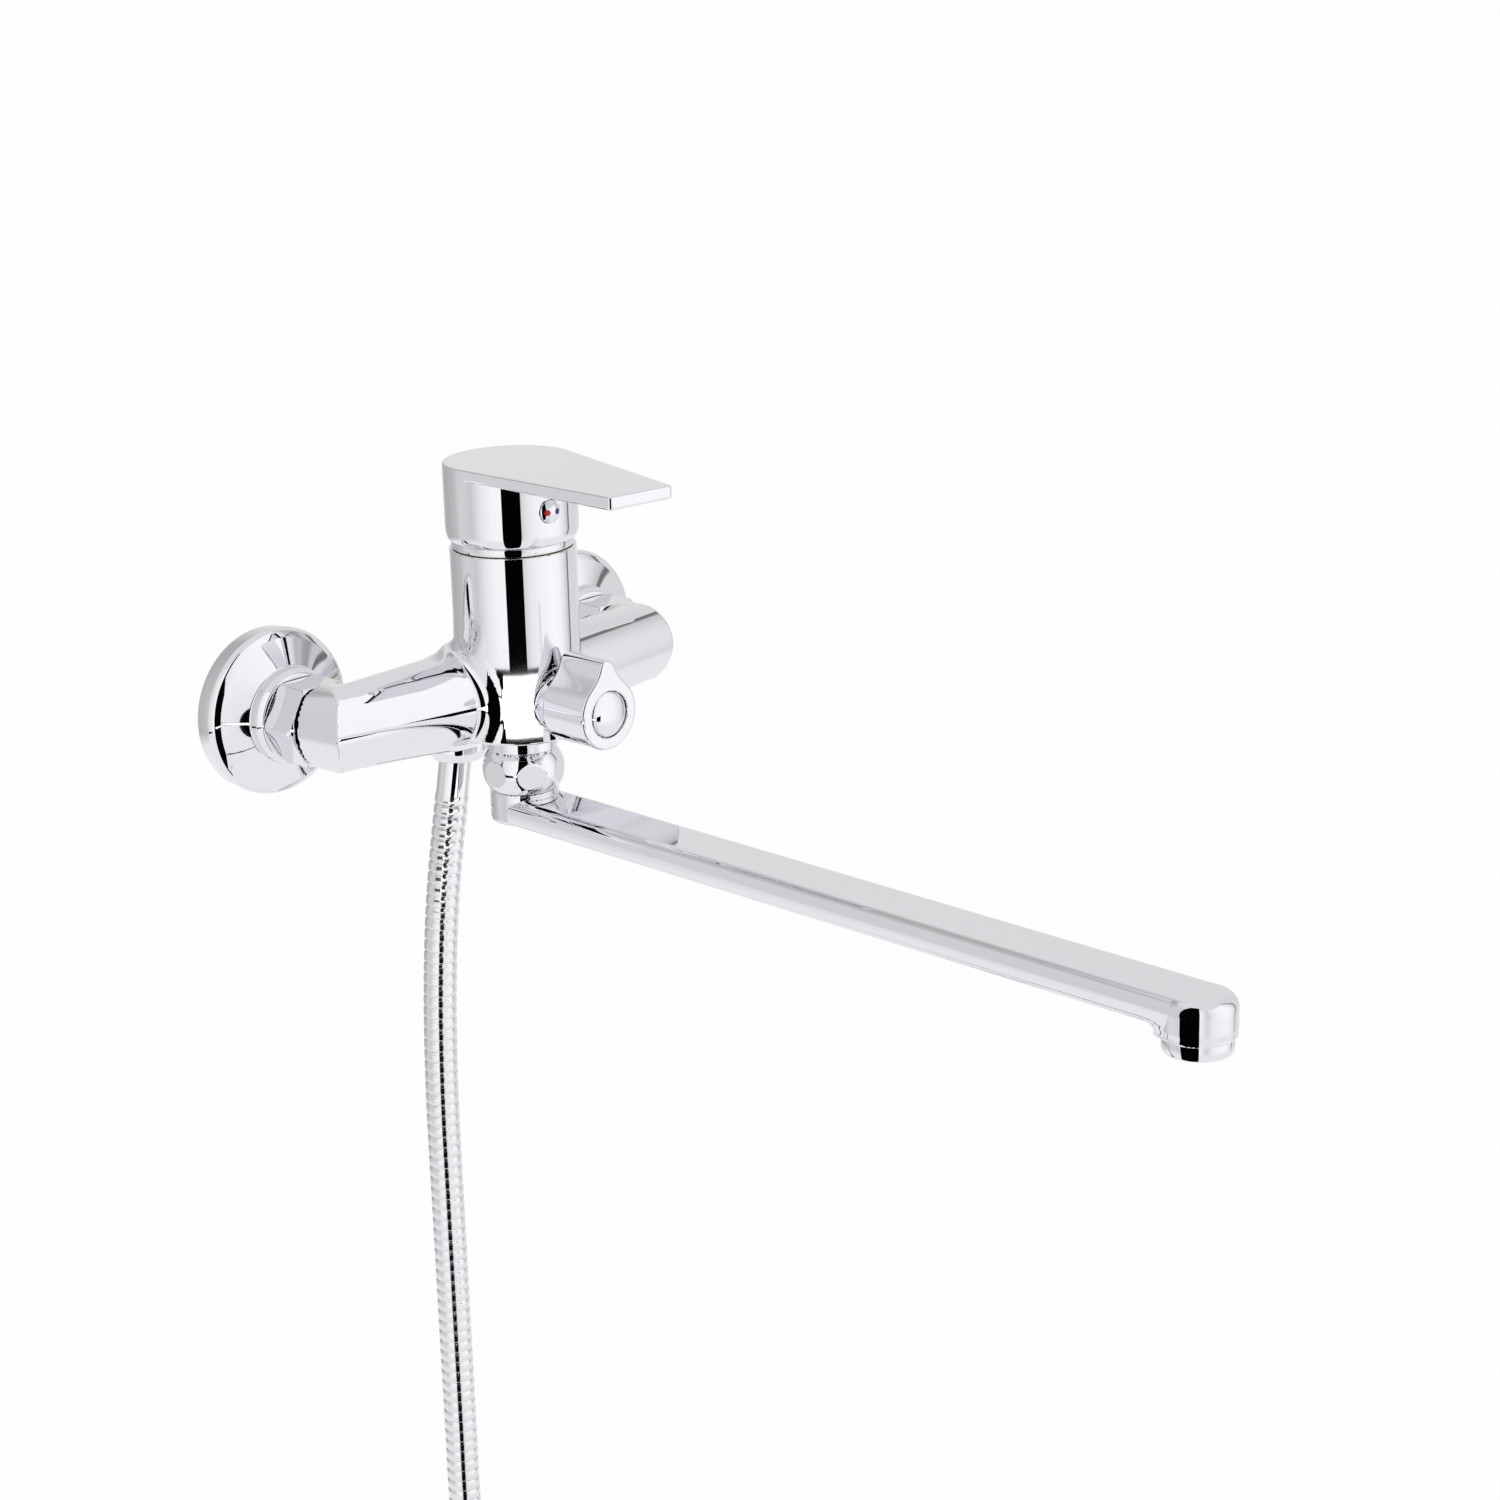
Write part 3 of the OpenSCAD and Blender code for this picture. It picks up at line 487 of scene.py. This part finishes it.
def bodyField(x, y, z):
    s = bodySize
    z = z - axisZ
    ax = np.abs(x)
    rr = np.hypot(x, y - columnY)
    lean = math.radians(s["armLean"])
    fromRoot = y - armY + inletX * math.tan(lean)
    along = ax * math.cos(lean) + fromRoot * math.sin(lean)
    across = fromRoot * math.cos(lean) - ax * math.sin(lean)
    thin = s["armEnd"] - s["inset"]   # the arm ends just inside the elbow
    taper = (s["armRoot"] - thin) / (inletX / math.cos(lean) - s["armStart"])
    armRadius = np.clip(s["armRoot"] - taper * (along - s["armStart"]), thin, s["armRoot"])
    arm = (np.hypot(across, z) - armRadius) * math.cos(math.atan(taper))
    aboutInlet = np.hypot(ax - inletX, z)
    socket = aboutInlet - s["armEnd"]
    dx, dy = ax - s["corner"][0], y - s["corner"][1]
    drums = []   # flatter outer faces of the arm and of the elbow
    for swing in (s["sweep"], 90 - s["sweep"]):
        a = math.radians(swing)
        depth = dy * math.cos(a) - dx * math.sin(a)
        drums.append(np.hypot(depth - s["face"], z) - s["face"])
    socket = common(socket, drums[1], 0.5)
    outer = common(arm, np.minimum(ax - inletX, socket), 0.3)
    outer = less(outer, common(aboutInlet - s["socket"], s["socketStart"] - y), 0.3)
    stub = common(socket, np.minimum(armY - y, common(arm, drums[0])), 0.3)
    stub = common(stub, y - s["socketStart"], 1.0)
    column = common(common(rr - s["column"], z - s["top"], 0.6), s["bottom"] - z, 0.9)
    front = np.clip((s["fadeFrom"] - y) / s["fadeOver"], 0, 1)
    soft = s["fillet"] - s["fade"] * front   # fades out towards the column's front
    shape = common(blend(column, outer, soft), blend(column, drums[0], s["frontFillet"]), 0.7)
    aboutBoss, aboutOutlet = np.hypot(x, z - s["bossRise"]), np.hypot(x, y - outletY)
    boss = common(aboutBoss - s["boss"], common(s["bossFace"] - y, y - columnY), 0.6)
    rear = common(common(aboutOutlet - s["outletBoss"], z - s["outletTop"], 1.5), s["outletEnd"] - z, 0.6)
    shape = blend(blend(shape, rear, 3.0), boss, 0.8)
    shape = np.minimum(shape, stub)
    shape = less(shape, common(rr - s["collarRoom"], z - s["bottom"]))
    shape = np.minimum(shape, common(rr - s["nipple"], slab(z, s["nippleEnd"], -13), 0.4))
    shape = less(shape, common(rr - s["seat"], s["seatFloor"] - z))
    shape = less(shape, common(rr - s["thread"], s["threadStart"] - z), 0.3)
    shape = less(shape, common(rr - s["spoutBore"], z - s["boreTop"]))
    shape = less(shape, common(aboutOutlet - s["hoseBore"], z - s["boreTop"]))
    shape = less(shape, common(aboutInlet - s["inletBore"], s["inletBoreEnd"] - y))
    return less(shape, common(aboutBoss - s["diverterBore"], y - s["diverterBoreStart"]))


fieldPiece("castBody", bodyField, (-93, -90, -27), (93, -7, 67), 0.9, "faucet_body", "body")

# Lever: round cap with a long flat blade that narrows to its square tip
leverSize = {
    "turn": -7.0, "reach": 81.5, "taper": 7.85, "bladeLow": 86.3, "bladeTop": 90.4, "rise": 0.84, "edge": 0.9,
    "cap": 25.0, "capLow": 23.6, "capStart": 61.3, "capTop": 88.0, "rounding": 5.0, "wall": 22.8,
    "ceiling": 84.0, "dome": 27.7, "pivot": 46.0, "hub": 9.0, "hubStart": 69.0,
    "plugZ": 74.4, "plug": 4.35, "plugSeat": -15.0,
}


def leverFrame(x, y, z):   # across, away from the tip, height above the nut axis
    a = math.radians(-leverSize["turn"])
    v = y - columnY
    return x * math.cos(a) - v * math.sin(a), x * math.sin(a) + v * math.cos(a), z - axisZ


def leverField(x, y, z):
    s = leverSize
    u, v, z = leverFrame(x, y, z)
    rr, side, a = np.hypot(u, v), np.abs(u), math.radians(s["taper"])
    beyond = side * math.sin(a) + v * math.cos(a) < 0
    plan = np.where(beyond, side * math.cos(a) - v * math.sin(a), rr) - s["cap"]
    plan = common(plan, -v - s["reach"], 1.5)
    top = z - s["bladeTop"] + s["rise"] * v / s["reach"]
    blade = common(plan, np.maximum(top, s["bladeLow"] - z), s["edge"])
    foot = np.clip((s["capStart"] + s["rounding"] - z) / s["rounding"], 0, 1)
    swell = (s["cap"] - s["capLow"]) * np.sqrt(1 - foot ** 2)
    cap = common(rr - s["capLow"] - swell, np.maximum(s["capStart"] - z, z - s["capTop"]), 0.2)
    hollow = np.minimum(common(rr - s["wall"], z - s["ceiling"]), np.hypot(rr, z - s["pivot"]) - s["dome"])
    hollow = less(hollow, common(rr - s["hub"], s["hubStart"] - z))
    shape = less(np.minimum(cap, blade), hollow, 0.15)
    return less(shape, common(np.hypot(u, z - s["plugZ"]) - s["plug"], v - s["plugSeat"]), 0.25)


fieldPiece("leverHandle", leverField, (-34, -143, 66), (27, -33, 100), 0.65, "lever", "lever")
# Plug in the front of the lever, with a slightly domed face
plugSize = {"radius": 4.3, "back": 22.8, "rim": 25.11, "front": 27.0, "dome": 5.84}
swing = math.radians(leverSize["turn"])
outward = (math.sin(swing), -math.cos(swing), 0)


def domeLine(radius, top, angles):   # points of a dome's outline, from its rim inwards
    line = []
    for angle in angles:
        a = math.radians(angle)
        line.append((radius * math.sin(a), top - radius + radius * math.cos(a), 0))
    return line


plugLine = [(0, plugSize["back"]), (plugSize["radius"], plugSize["back"])]
plugLine.append((plugSize["radius"], plugSize["rim"]))
plugLine += domeLine(plugSize["dome"], plugSize["front"], range(40, 0, -5))
plugLine.append((0, plugSize["front"]))
lathe("indicatorPlug", plugLine, (0, columnY, axisZ + leverSize["plugZ"]), outward,
      "lever", "indicator_plug", corner=0.25)

# Spout: long flat beam with rounded top edges, a drop at the outlet and a round neck under the nut
spoutSize = {
    "half": 12.8, "bulge": 0.6, "bulgeZ": -42.6, "tip": 13.0, "top": -39.6, "low": -50.0, "drop": -54.0,
    "inset": 1.4, "shoulder": 4.6, "edge": 2.2, "neck": 13.2, "neckTop": -37.4,
    "stub": 9.52, "stubLow": -42.0, "stubTop": -12.0,
    "bore": 6.8, "outletBore": 10.4, "floor": -47.3,
    "grooves": ((-19.1, -17, 8.3), (-24.1, -22, 8.3), (-34.6, -33, 8.5)),   # low, high, radius
}


def spoutField(x, y, z):
    s = spoutSize
    z = z - axisZ
    rr, tip = np.hypot(x, y - columnY), np.hypot(x, y - tipY)
    flank = (np.clip(z, s["low"], s["top"]) - s["bulgeZ"]) / (s["low"] - s["bulgeZ"])
    half = s["half"] - s["bulge"] * flank ** 2   # the sides are a little convex
    plan = np.minimum(np.maximum(np.abs(x) - half, tipY - y), tip - s["tip"])
    under = blend(s["low"] - z, tip - s["tip"] - s["inset"], 3.0)
    beam = common(common(plan, z - s["top"], s["shoulder"]), under, s["edge"])
    beam = common(common(beam, s["drop"] - z, 0.6), y - columnY)
    neck = common(common(rr - s["neck"], z - s["neckTop"], 0.3), s["low"] - z, 1.4)
    stub = common(rr - s["stub"], slab(z, s["stubLow"], s["stubTop"]), 0.4)
    for low, high, radius in s["grooves"]:
        stub = less(stub, common(slab(z, low, high), radius - rr))
    shape = np.minimum(np.minimum(beam, neck), stub)
    shape = less(shape, common(rr - s["bore"], s["floor"] - z))
    return less(shape, common(tip - s["outletBore"], z - s["floor"]), 0.2)


fieldPiece("spoutBeam", spoutField, (-14, -394, -48), (14, -45, -3), 0.7, "spout", "spout")


# Ball shaped nut with six wrench flats and a collar that reaches into the body
ballNutSize = {
    "ball": 12.4, "ring": 3.3, "middle": -29.8, "low": -36.9, "top": -22.0, "flats": 29.2,
    "end": -37.2, "foot": 13.3, "flare": 0.478, "footTop": -35.6,
    "collar": 13.4, "collarTop": -14.8, "collarEnd": -21.2,
    "groove": 12.9, "grooveTop": -20.0, "grooveEnd": -23.0, "seat": 12.5, "seatTop": -34.6, "bore": 9.7,
}


def ballNutField(x, y, z):
    s = ballNutSize
    z = z - axisZ
    v = y - columnY
    rr = np.hypot(x, v)
    ball = np.hypot(np.maximum(rr - s["ring"], 0), z - s["middle"]) - s["ball"]
    ball = common(ball, slab(z, s["low"], s["top"]))
    cone = (rr - s["foot"] - (z - s["end"]) * s["flare"]) * 0.9   # about a true distance
    foot = np.maximum(cone, z - s["footTop"])
    collar = common(rr - s["collar"], slab(z, s["collarEnd"], s["collarTop"]), 0.4)
    collar = np.minimum(collar, np.maximum(rr - s["groove"], slab(z, s["grooveEnd"], s["grooveTop"])))
    shape = common(np.minimum(np.minimum(ball, foot), collar), s["end"] - z, 0.3)
    flats = [np.abs(x * math.sin(a) + v * math.cos(a)) for a in (math.pi / 6, math.pi / 2, -math.pi / 6)]
    shape = common(shape, np.max(flats, axis=0) - s["flats"] / 2, 0.15)
    shape = less(shape, common(rr - s["seat"], s["seatTop"] - z))
    return less(shape, rr - s["bore"])


fieldPiece("ballNut", ballNutField, (-17, -77, -32), (17, -43, -6), 0.5, "faucet_body", "spout_nut")

# Diverter knob: round, with one pointer lobe, and a cap with a domed face in its front
knobSize = {
    "rise": 0.5, "radius": 13.7, "back": 87.0, "front": 109.5, "edge": 1.1,
    "lobe": 3.4, "lobeStart": 8.0, "lobeEnd": 17.3, "fillet": 6.0,
    "capSeat": 8.95, "capFloor": 107.3, "cap": 8.7, "capRim": 108.7, "capDome": 1.7,
    "skirt": 11.8, "hub": 6.6, "web": 104.0, "bore": 3.52, "boreEnd": 103.2,
}


def knobField(x, y, z):
    s = knobSize
    z, depth = z - axisZ - s["rise"], -y
    rr = np.hypot(x, z)
    lobe = np.hypot(x, z - np.clip(z, s["lobeStart"], s["lobeEnd"])) - s["lobe"]
    shape = common(blend(rr - s["radius"], lobe, s["fillet"]), slab(depth, s["back"], s["front"]), s["edge"])
    shape = less(shape, common(rr - s["capSeat"], s["capFloor"] - depth), 0.25)
    shape = less(shape, common(np.maximum(rr - s["skirt"], s["hub"] - rr), depth - s["web"]))
    return less(shape, common(rr - s["bore"], depth - s["boreEnd"]))


fieldPiece("diverterKnob", knobField, (-16, -111, -8), (16, -86, 30), 0.5, "diverter_knob", "diverter_knob")
capSize, capRim, capDome = knobSize["cap"], knobSize["capRim"], knobSize["capDome"]
capLine = [(0, knobSize["capFloor"]), (capSize, knobSize["capFloor"]), (capSize, capRim, 0)]
for a in range(15, 90, 15):
    capLine.append((capSize * math.cos(math.radians(a)), capRim + capDome * math.sin(math.radians(a)), 0))
capLine.append((0, capRim + capDome))
lathe("knobCap", capLine, (0, 0, axisZ + knobSize["rise"]), (0, -1, 0),
      "diverter_knob", "knob_cap", corner=0.2)

# Union nuts: hexagon nuts with both ends chamfered
unionNutSize = {
    "flats": 30.0, "corners": 17.25, "start": 21.2, "end": 35.6, "startChamfer": 16.4, "endChamfer": 16.2,
    "threadBore": 13.2, "threadEnd": 31.2, "tailBore": 9.3,
}


def unionNutField(side):
    def field(x, y, z):
        s = unionNutSize
        u, w, depth = x - side * inletX, z - axisZ, -y
        rr = np.hypot(u, w)
        flats = [np.abs(w * math.cos(a) + u * math.sin(a)) for a in (0, math.pi / 3, -math.pi / 3)]
        shape = common(np.max(flats, axis=0) - s["flats"] / 2, rr - s["corners"], 0.2)
        shape = common(shape, slab(depth, s["start"], s["end"]), 0.2)
        for cone in (s["endChamfer"] - (depth - s["end"]), s["startChamfer"] + (depth - s["start"])):
            shape = common(shape, (rr - cone) * 0.7, 0.2)   # 45 degrees
        shape = less(shape, common(rr - s["threadBore"], depth - s["threadEnd"]))
        return less(shape, rr - s["tailBore"])
    return field


# Turned pieces: closed outlines of radius, height and, where it isn't the piece's own, the corner's radius
turnedLines = {
    "escutcheon": [(31.2, 0), (31.9, 7.2, 1.0), (31.0, 9.4, 1.8), (28.6, 10.7, 3.0), (18.4, 14.9, 0.8),
                   (18.2, 18.4, 1.5), (16.9, 20.8, 0.8), (13.4, 20.8), (13.4, 12.2), (17.6, 12.2),
                   (27.6, 9.2), (30.0, 6.6), (29.6, 0)],
    "neckRing": [(21.75, 58.15), (23.05, 58.15), (23.05, 60.6)] + domeLine(27.3, 73.3, range(57, 50, -2))
                + [(20.6, 62.2), (21.1, 60.2), (21.75, 59.4)],
    "hoseNut": [(7.6, -33.4), (9.6, -33.4), (10.2, -33, 0.6), (12.2, -29.4, 1.2), (12.2, -24, 0.5),
                (11.6, -23.6), (10.6, -23.6), (10.6, -30.7), (7.6, -30.7)],
    "aeratorShell": [(8.2, -59.3), (11.9, -59.3, 0.8), (11.9, -54.15, 0.2), (10.8, -54.15), (10.8, -54),
                     (10.35, -54), (10.35, -49), (8.8, -49), (8.8, -58.1), (8.2, -58.1)],
}
for side, word in ((-1, "left"), (1, "right")):
    x = side * inletX
    fieldPiece(word + "UnionNut", unionNutField(side), (x - 18.5, -37, axisZ - 18.5),
               (x + 18.5, -20, axisZ + 18.5), 0.5, "faucet_body", "union_nut_" + word)
    lathe(word + "Escutcheon", turnedLines["escutcheon"], (x, 0, axisZ), (0, -1, 0), "faucet_body",
          "escutcheon_" + word, sides=144)
lathe("neckRing", turnedLines["neckRing"], (0, columnY, axisZ), (0, 0, 1),
      "faucet_body", "neck_ring", corner=0.2)
lathe("hoseNut", turnedLines["hoseNut"], (0, outletY, axisZ), (0, 0, 1),
      "faucet_body", "hose_nut", corner=0.2)
lathe("aeratorShell", turnedLines["aeratorShell"], (0, tipY, axisZ), (0, 0, 1),
      "spout", "aerator_shell", corner=0.15)


# Studio: walls of soft light all round, brightest in front; angles in degrees from the front, left is minus
studioLook = {
    "wall": [(-180, 0.50), (-154, 0.60), (-142, 0.76), (-128, 0.76), (-114, 0.70), (-95, 0.97), (-75, 1.12),
             (-50, 1.15), (-27, 0.76), (-15, 0.97), (0, 1.08), (30, 1.16), (46, 1.12), (60, 0.90), (69, 0.66),
             (70.5, 0.18), (73, 0.18), (74.5, 0.84), (90, 0.80), (140, 0.84), (165, 0.50), (180, 0.50)],
    "brightest": 1.2,
    "ceiling": (0.84, 0.84, 0.86, 1), "ceilingEdge": (0.80, 0.84),
    "ground": (0.96, 0.96, 0.97, 1), "groundEdge": (-0.34, -0.46),
}


def studioWorld(look):
    world = bpy.data.worlds.new("studio")
    scene.world = world
    world.use_nodes = True
    tree = world.node_tree
    tree.nodes.clear()
    place = addNode(tree, "ShaderNodeTexCoord")
    axes = addNode(tree, "ShaderNodeSeparateXYZ", [(0, place.outputs["Generated"])])
    forward = addNode(tree, "ShaderNodeMath", [(0, axes.outputs[1])], operation="MULTIPLY", in_1=-1.0)
    angle = addNode(tree, "ShaderNodeMath", [(0, axes.outputs[0]), (1, forward)], operation="ARCTAN2")
    share = addNode(tree, "ShaderNodeMapRange", [("Value", angle)], in_From_Min=-math.pi, in_From_Max=math.pi)
    ramp = addNode(tree, "ShaderNodeValToRGB", [("Fac", share)])
    stops = ramp.color_ramp.elements
    stops.remove(stops[-1])
    for i, (degrees, level) in enumerate(look["wall"]):
        stop = stops[0] if i == 0 else stops.new((degrees + 180) / 360)
        stop.position = (degrees + 180) / 360
        stop.color = (level / look["brightest"],) * 3 + (1,)
    walls = addNode(tree, "ShaderNodeVectorMath", [(0, ramp)], operation="SCALE", in_Scale=look["brightest"])
    high = addNode(tree, "ShaderNodeMapRange", [("Value", axes.outputs[2])],
                   in_From_Min=look["ceilingEdge"][0], in_From_Max=look["ceilingEdge"][1])
    low = addNode(tree, "ShaderNodeMapRange", [("Value", axes.outputs[2])],
                  in_From_Min=look["groundEdge"][0], in_From_Max=look["groundEdge"][1])
    upper = addNode(tree, "ShaderNodeMix", [(0, high), (6, walls)], data_type="RGBA", in_7=look["ceiling"])
    whole = addNode(tree, "ShaderNodeMix", [(0, low), (6, upper.outputs[2])], data_type="RGBA",
                    in_7=look["ground"])
    path = addNode(tree, "ShaderNodeLightPath")
    seen = addNode(tree, "ShaderNodeMix", [(0, path.outputs["Is Camera Ray"]), (6, whole.outputs[2])],
                   data_type="RGBA", in_7=(1, 1, 1, 1))
    light = addNode(tree, "ShaderNodeBackground", [(0, seen.outputs[2])], in_Strength=1.0)
    addNode(tree, "ShaderNodeOutputWorld", [(0, light)])


def stageMesh(name, verts, faces, material):
    mesh = bpy.data.meshes.new(name)
    mesh.from_pydata(verts, [], faces)
    mesh.materials.append(material)
    obj = bpy.data.objects.new(name, mesh)
    scene.collection.objects.link(obj)
    return obj


def glossyCard(name, verts, faces, material):   # seen only as a reflection
    card = stageMesh(name, verts, faces, material)
    card.visible_camera = False
    card.visible_shadow = False
    card.visible_diffuse = False


cardSize = {
    "side": 300, "front": 345,           # planes of the low cards, mm from the column
    "flag": {"start": -110, "end": 21, "low": -17, "high": 15.5, "corner": 1, "setback": 0},
    "paper": {"start": -70, "end": 7, "low": -11.5, "high": 13, "corner": 5, "setback": 5},
    "fall": 0.30, "fallChange": 0.000854,   # slope of a ray from the column's foot, and its change per mm
    "endRise": 6,                        # mm of height for each degree in from a low card's end
    "grid": 0.93,                        # cosine past which the honeycomb grid hides a low card
    "tallEnds": ((-0.340, -0.276), (-0.264, -0.601)), "tallHeights": (-1.0, 1.2),
    "lineX": -0.125, "lineEnds": (-0.090, -0.290), "lineTop": -0.158, "lineLow": (-0.160, -0.182),
}


def lowCard(name, look, material):
    # Flat strip in two planes; start and end are degrees, low and high are where the column's foot shows it
    columns = 60
    side, front = cardSize["side"] - look["setback"], cardSize["front"] - look["setback"]
    bend = math.degrees(math.atan2(-cardSize["side"], cardSize["front"]))
    for word, first, last in (("Side", look["start"], bend), ("Front", bend, look["end"])):
        verts = []
        for i in range(columns + 1):
            angle = first + (last - first) * i / columns
            edge = min(angle - look["start"], look["end"] - angle) * cardSize["endRise"]
            corner = look["corner"]
            inset = corner - math.sqrt(max(corner ** 2 - max(corner - edge, 0) ** 2, 0))
            a = math.radians(angle)
            away = -side / math.sin(a) if word == "Side" else front / math.cos(a)
            for foot in (look["low"] + inset, look["high"] - inset):
                fall = cardSize["fall"] - cardSize["fallChange"] * foot
                z = axisZ + foot - (away - bodySize["column"]) * fall
                verts.append((away * math.sin(a) * mm, (columnY - away * math.cos(a)) * mm, z * mm))
        faces = [(2 * i, 2 * i + 2, 2 * i + 3, 2 * i + 1) for i in range(columns)]
        glossyCard(name + word, verts, faces, material)


def cardMaterial(name, hexColor, glow=0):   # matt felt or paper
    material, tree, shader = newMaterial(name)
    shader.inputs["Base Color"].default_value = linearColor(hexColor)
    shader.inputs["Roughness"].default_value = 1
    shader.inputs["Specular IOR Level"].default_value = 0
    shader.inputs["Emission Color"].default_value = linearColor(hexColor)
    shader.inputs["Emission Strength"].default_value = glow
    return material, tree, shader


def griddedCard(name, hexColor, glow=0):   # behind a honeycomb grid aimed at the column
    material, tree, shader = cardMaterial(name, hexColor, glow)
    point = addNode(tree, "ShaderNodeNewGeometry")
    across = addNode(tree, "ShaderNodeVectorMath", [(0, point.outputs["Position"])], operation="SUBTRACT",
                     in_1=(0, columnY * mm, 0))
    level = addNode(tree, "ShaderNodeVectorMath", [(0, across)], operation="MULTIPLY", in_1=(1, 1, 0))
    aim = addNode(tree, "ShaderNodeVectorMath", [(0, level)], operation="NORMALIZE")
    facing = addNode(tree, "ShaderNodeVectorMath", [(0, point.outputs["Incoming"]), (1, aim)],
                     operation="DOT_PRODUCT")
    square = addNode(tree, "ShaderNodeMath", [(0, facing.outputs["Value"])], operation="ABSOLUTE")
    through = addNode(tree, "ShaderNodeMath", [(0, square)], operation="GREATER_THAN", in_1=cardSize["grid"])
    clear = addNode(tree, "ShaderNodeBsdfTransparent")
    mix = addNode(tree, "ShaderNodeMixShader", [(0, through), (1, clear), (2, shader)])
    tree.links.new(mix.outputs[0], tree.nodes["Material Output"].inputs[0])
    return material


def studioCards(look):
    # Black felt: a tall flag draws the dark band down the chrome, a thin one a line along the spout's foot
    felt = cardMaterial("blackFelt", "#050505")[0]
    tall = [(x, y, z) for z in look["tallHeights"] for x, y in look["tallEnds"]]
    glossyCard("tallFlag", tall, [(0, 1, 3, 2)], felt)
    x, (near, far), (thin, deep) = look["lineX"], look["lineEnds"], look["lineLow"]
    line = [(x, near, look["lineTop"]), (x, far, look["lineTop"]), (x, far, deep), (x, near, thin)]
    glossyCard("lineFlag", line, [(0, 1, 2, 3)], felt)
    # A low flag round the foot of the column, with a white card in front of it
    lowCard("lowFlag", look["flag"], griddedCard("griddedFelt", "#050505"))
    lowCard("paperCard", look["paper"], griddedCard("griddedPaper", "#FFFFFF", 1))


def paleFloor():
    material, tree, shader = newMaterial("paleFloor")
    shader.inputs["Base Color"].default_value = linearColor("#F4F4F4")
    shader.inputs["Roughness"].default_value = 0.9
    path = addNode(tree, "ShaderNodeLightPath")
    glow = addNode(tree, "ShaderNodeEmission", in_Color=(1, 1, 1, 1), in_Strength=1.0)
    share = addNode(tree, "ShaderNodeMath", [(0, path.outputs["Is Camera Ray"])], operation="MULTIPLY",
                    in_1=0.94)   # the rest keeps the object's shadow
    mix = addNode(tree, "ShaderNodeMixShader", [(0, share), (1, shader), (2, glow)])
    tree.links.new(mix.outputs[0], tree.nodes["Material Output"].inputs[0])
    z = cadBox[0][2] - 0.002
    r = 60.0   # metres, past what the camera sees
    floor = stageMesh("floor", [(-r, -r, z), (r, -r, z), (r, r, z), (-r, r, z)], [(0, 1, 2, 3)], material)
    floor.visible_glossy = False   # the chrome shows the studio walls instead


studioWorld(studioLook)
studioCards(cardSize)
paleFloor()
scene.view_settings.view_transform = "Standard"
print("studio set")
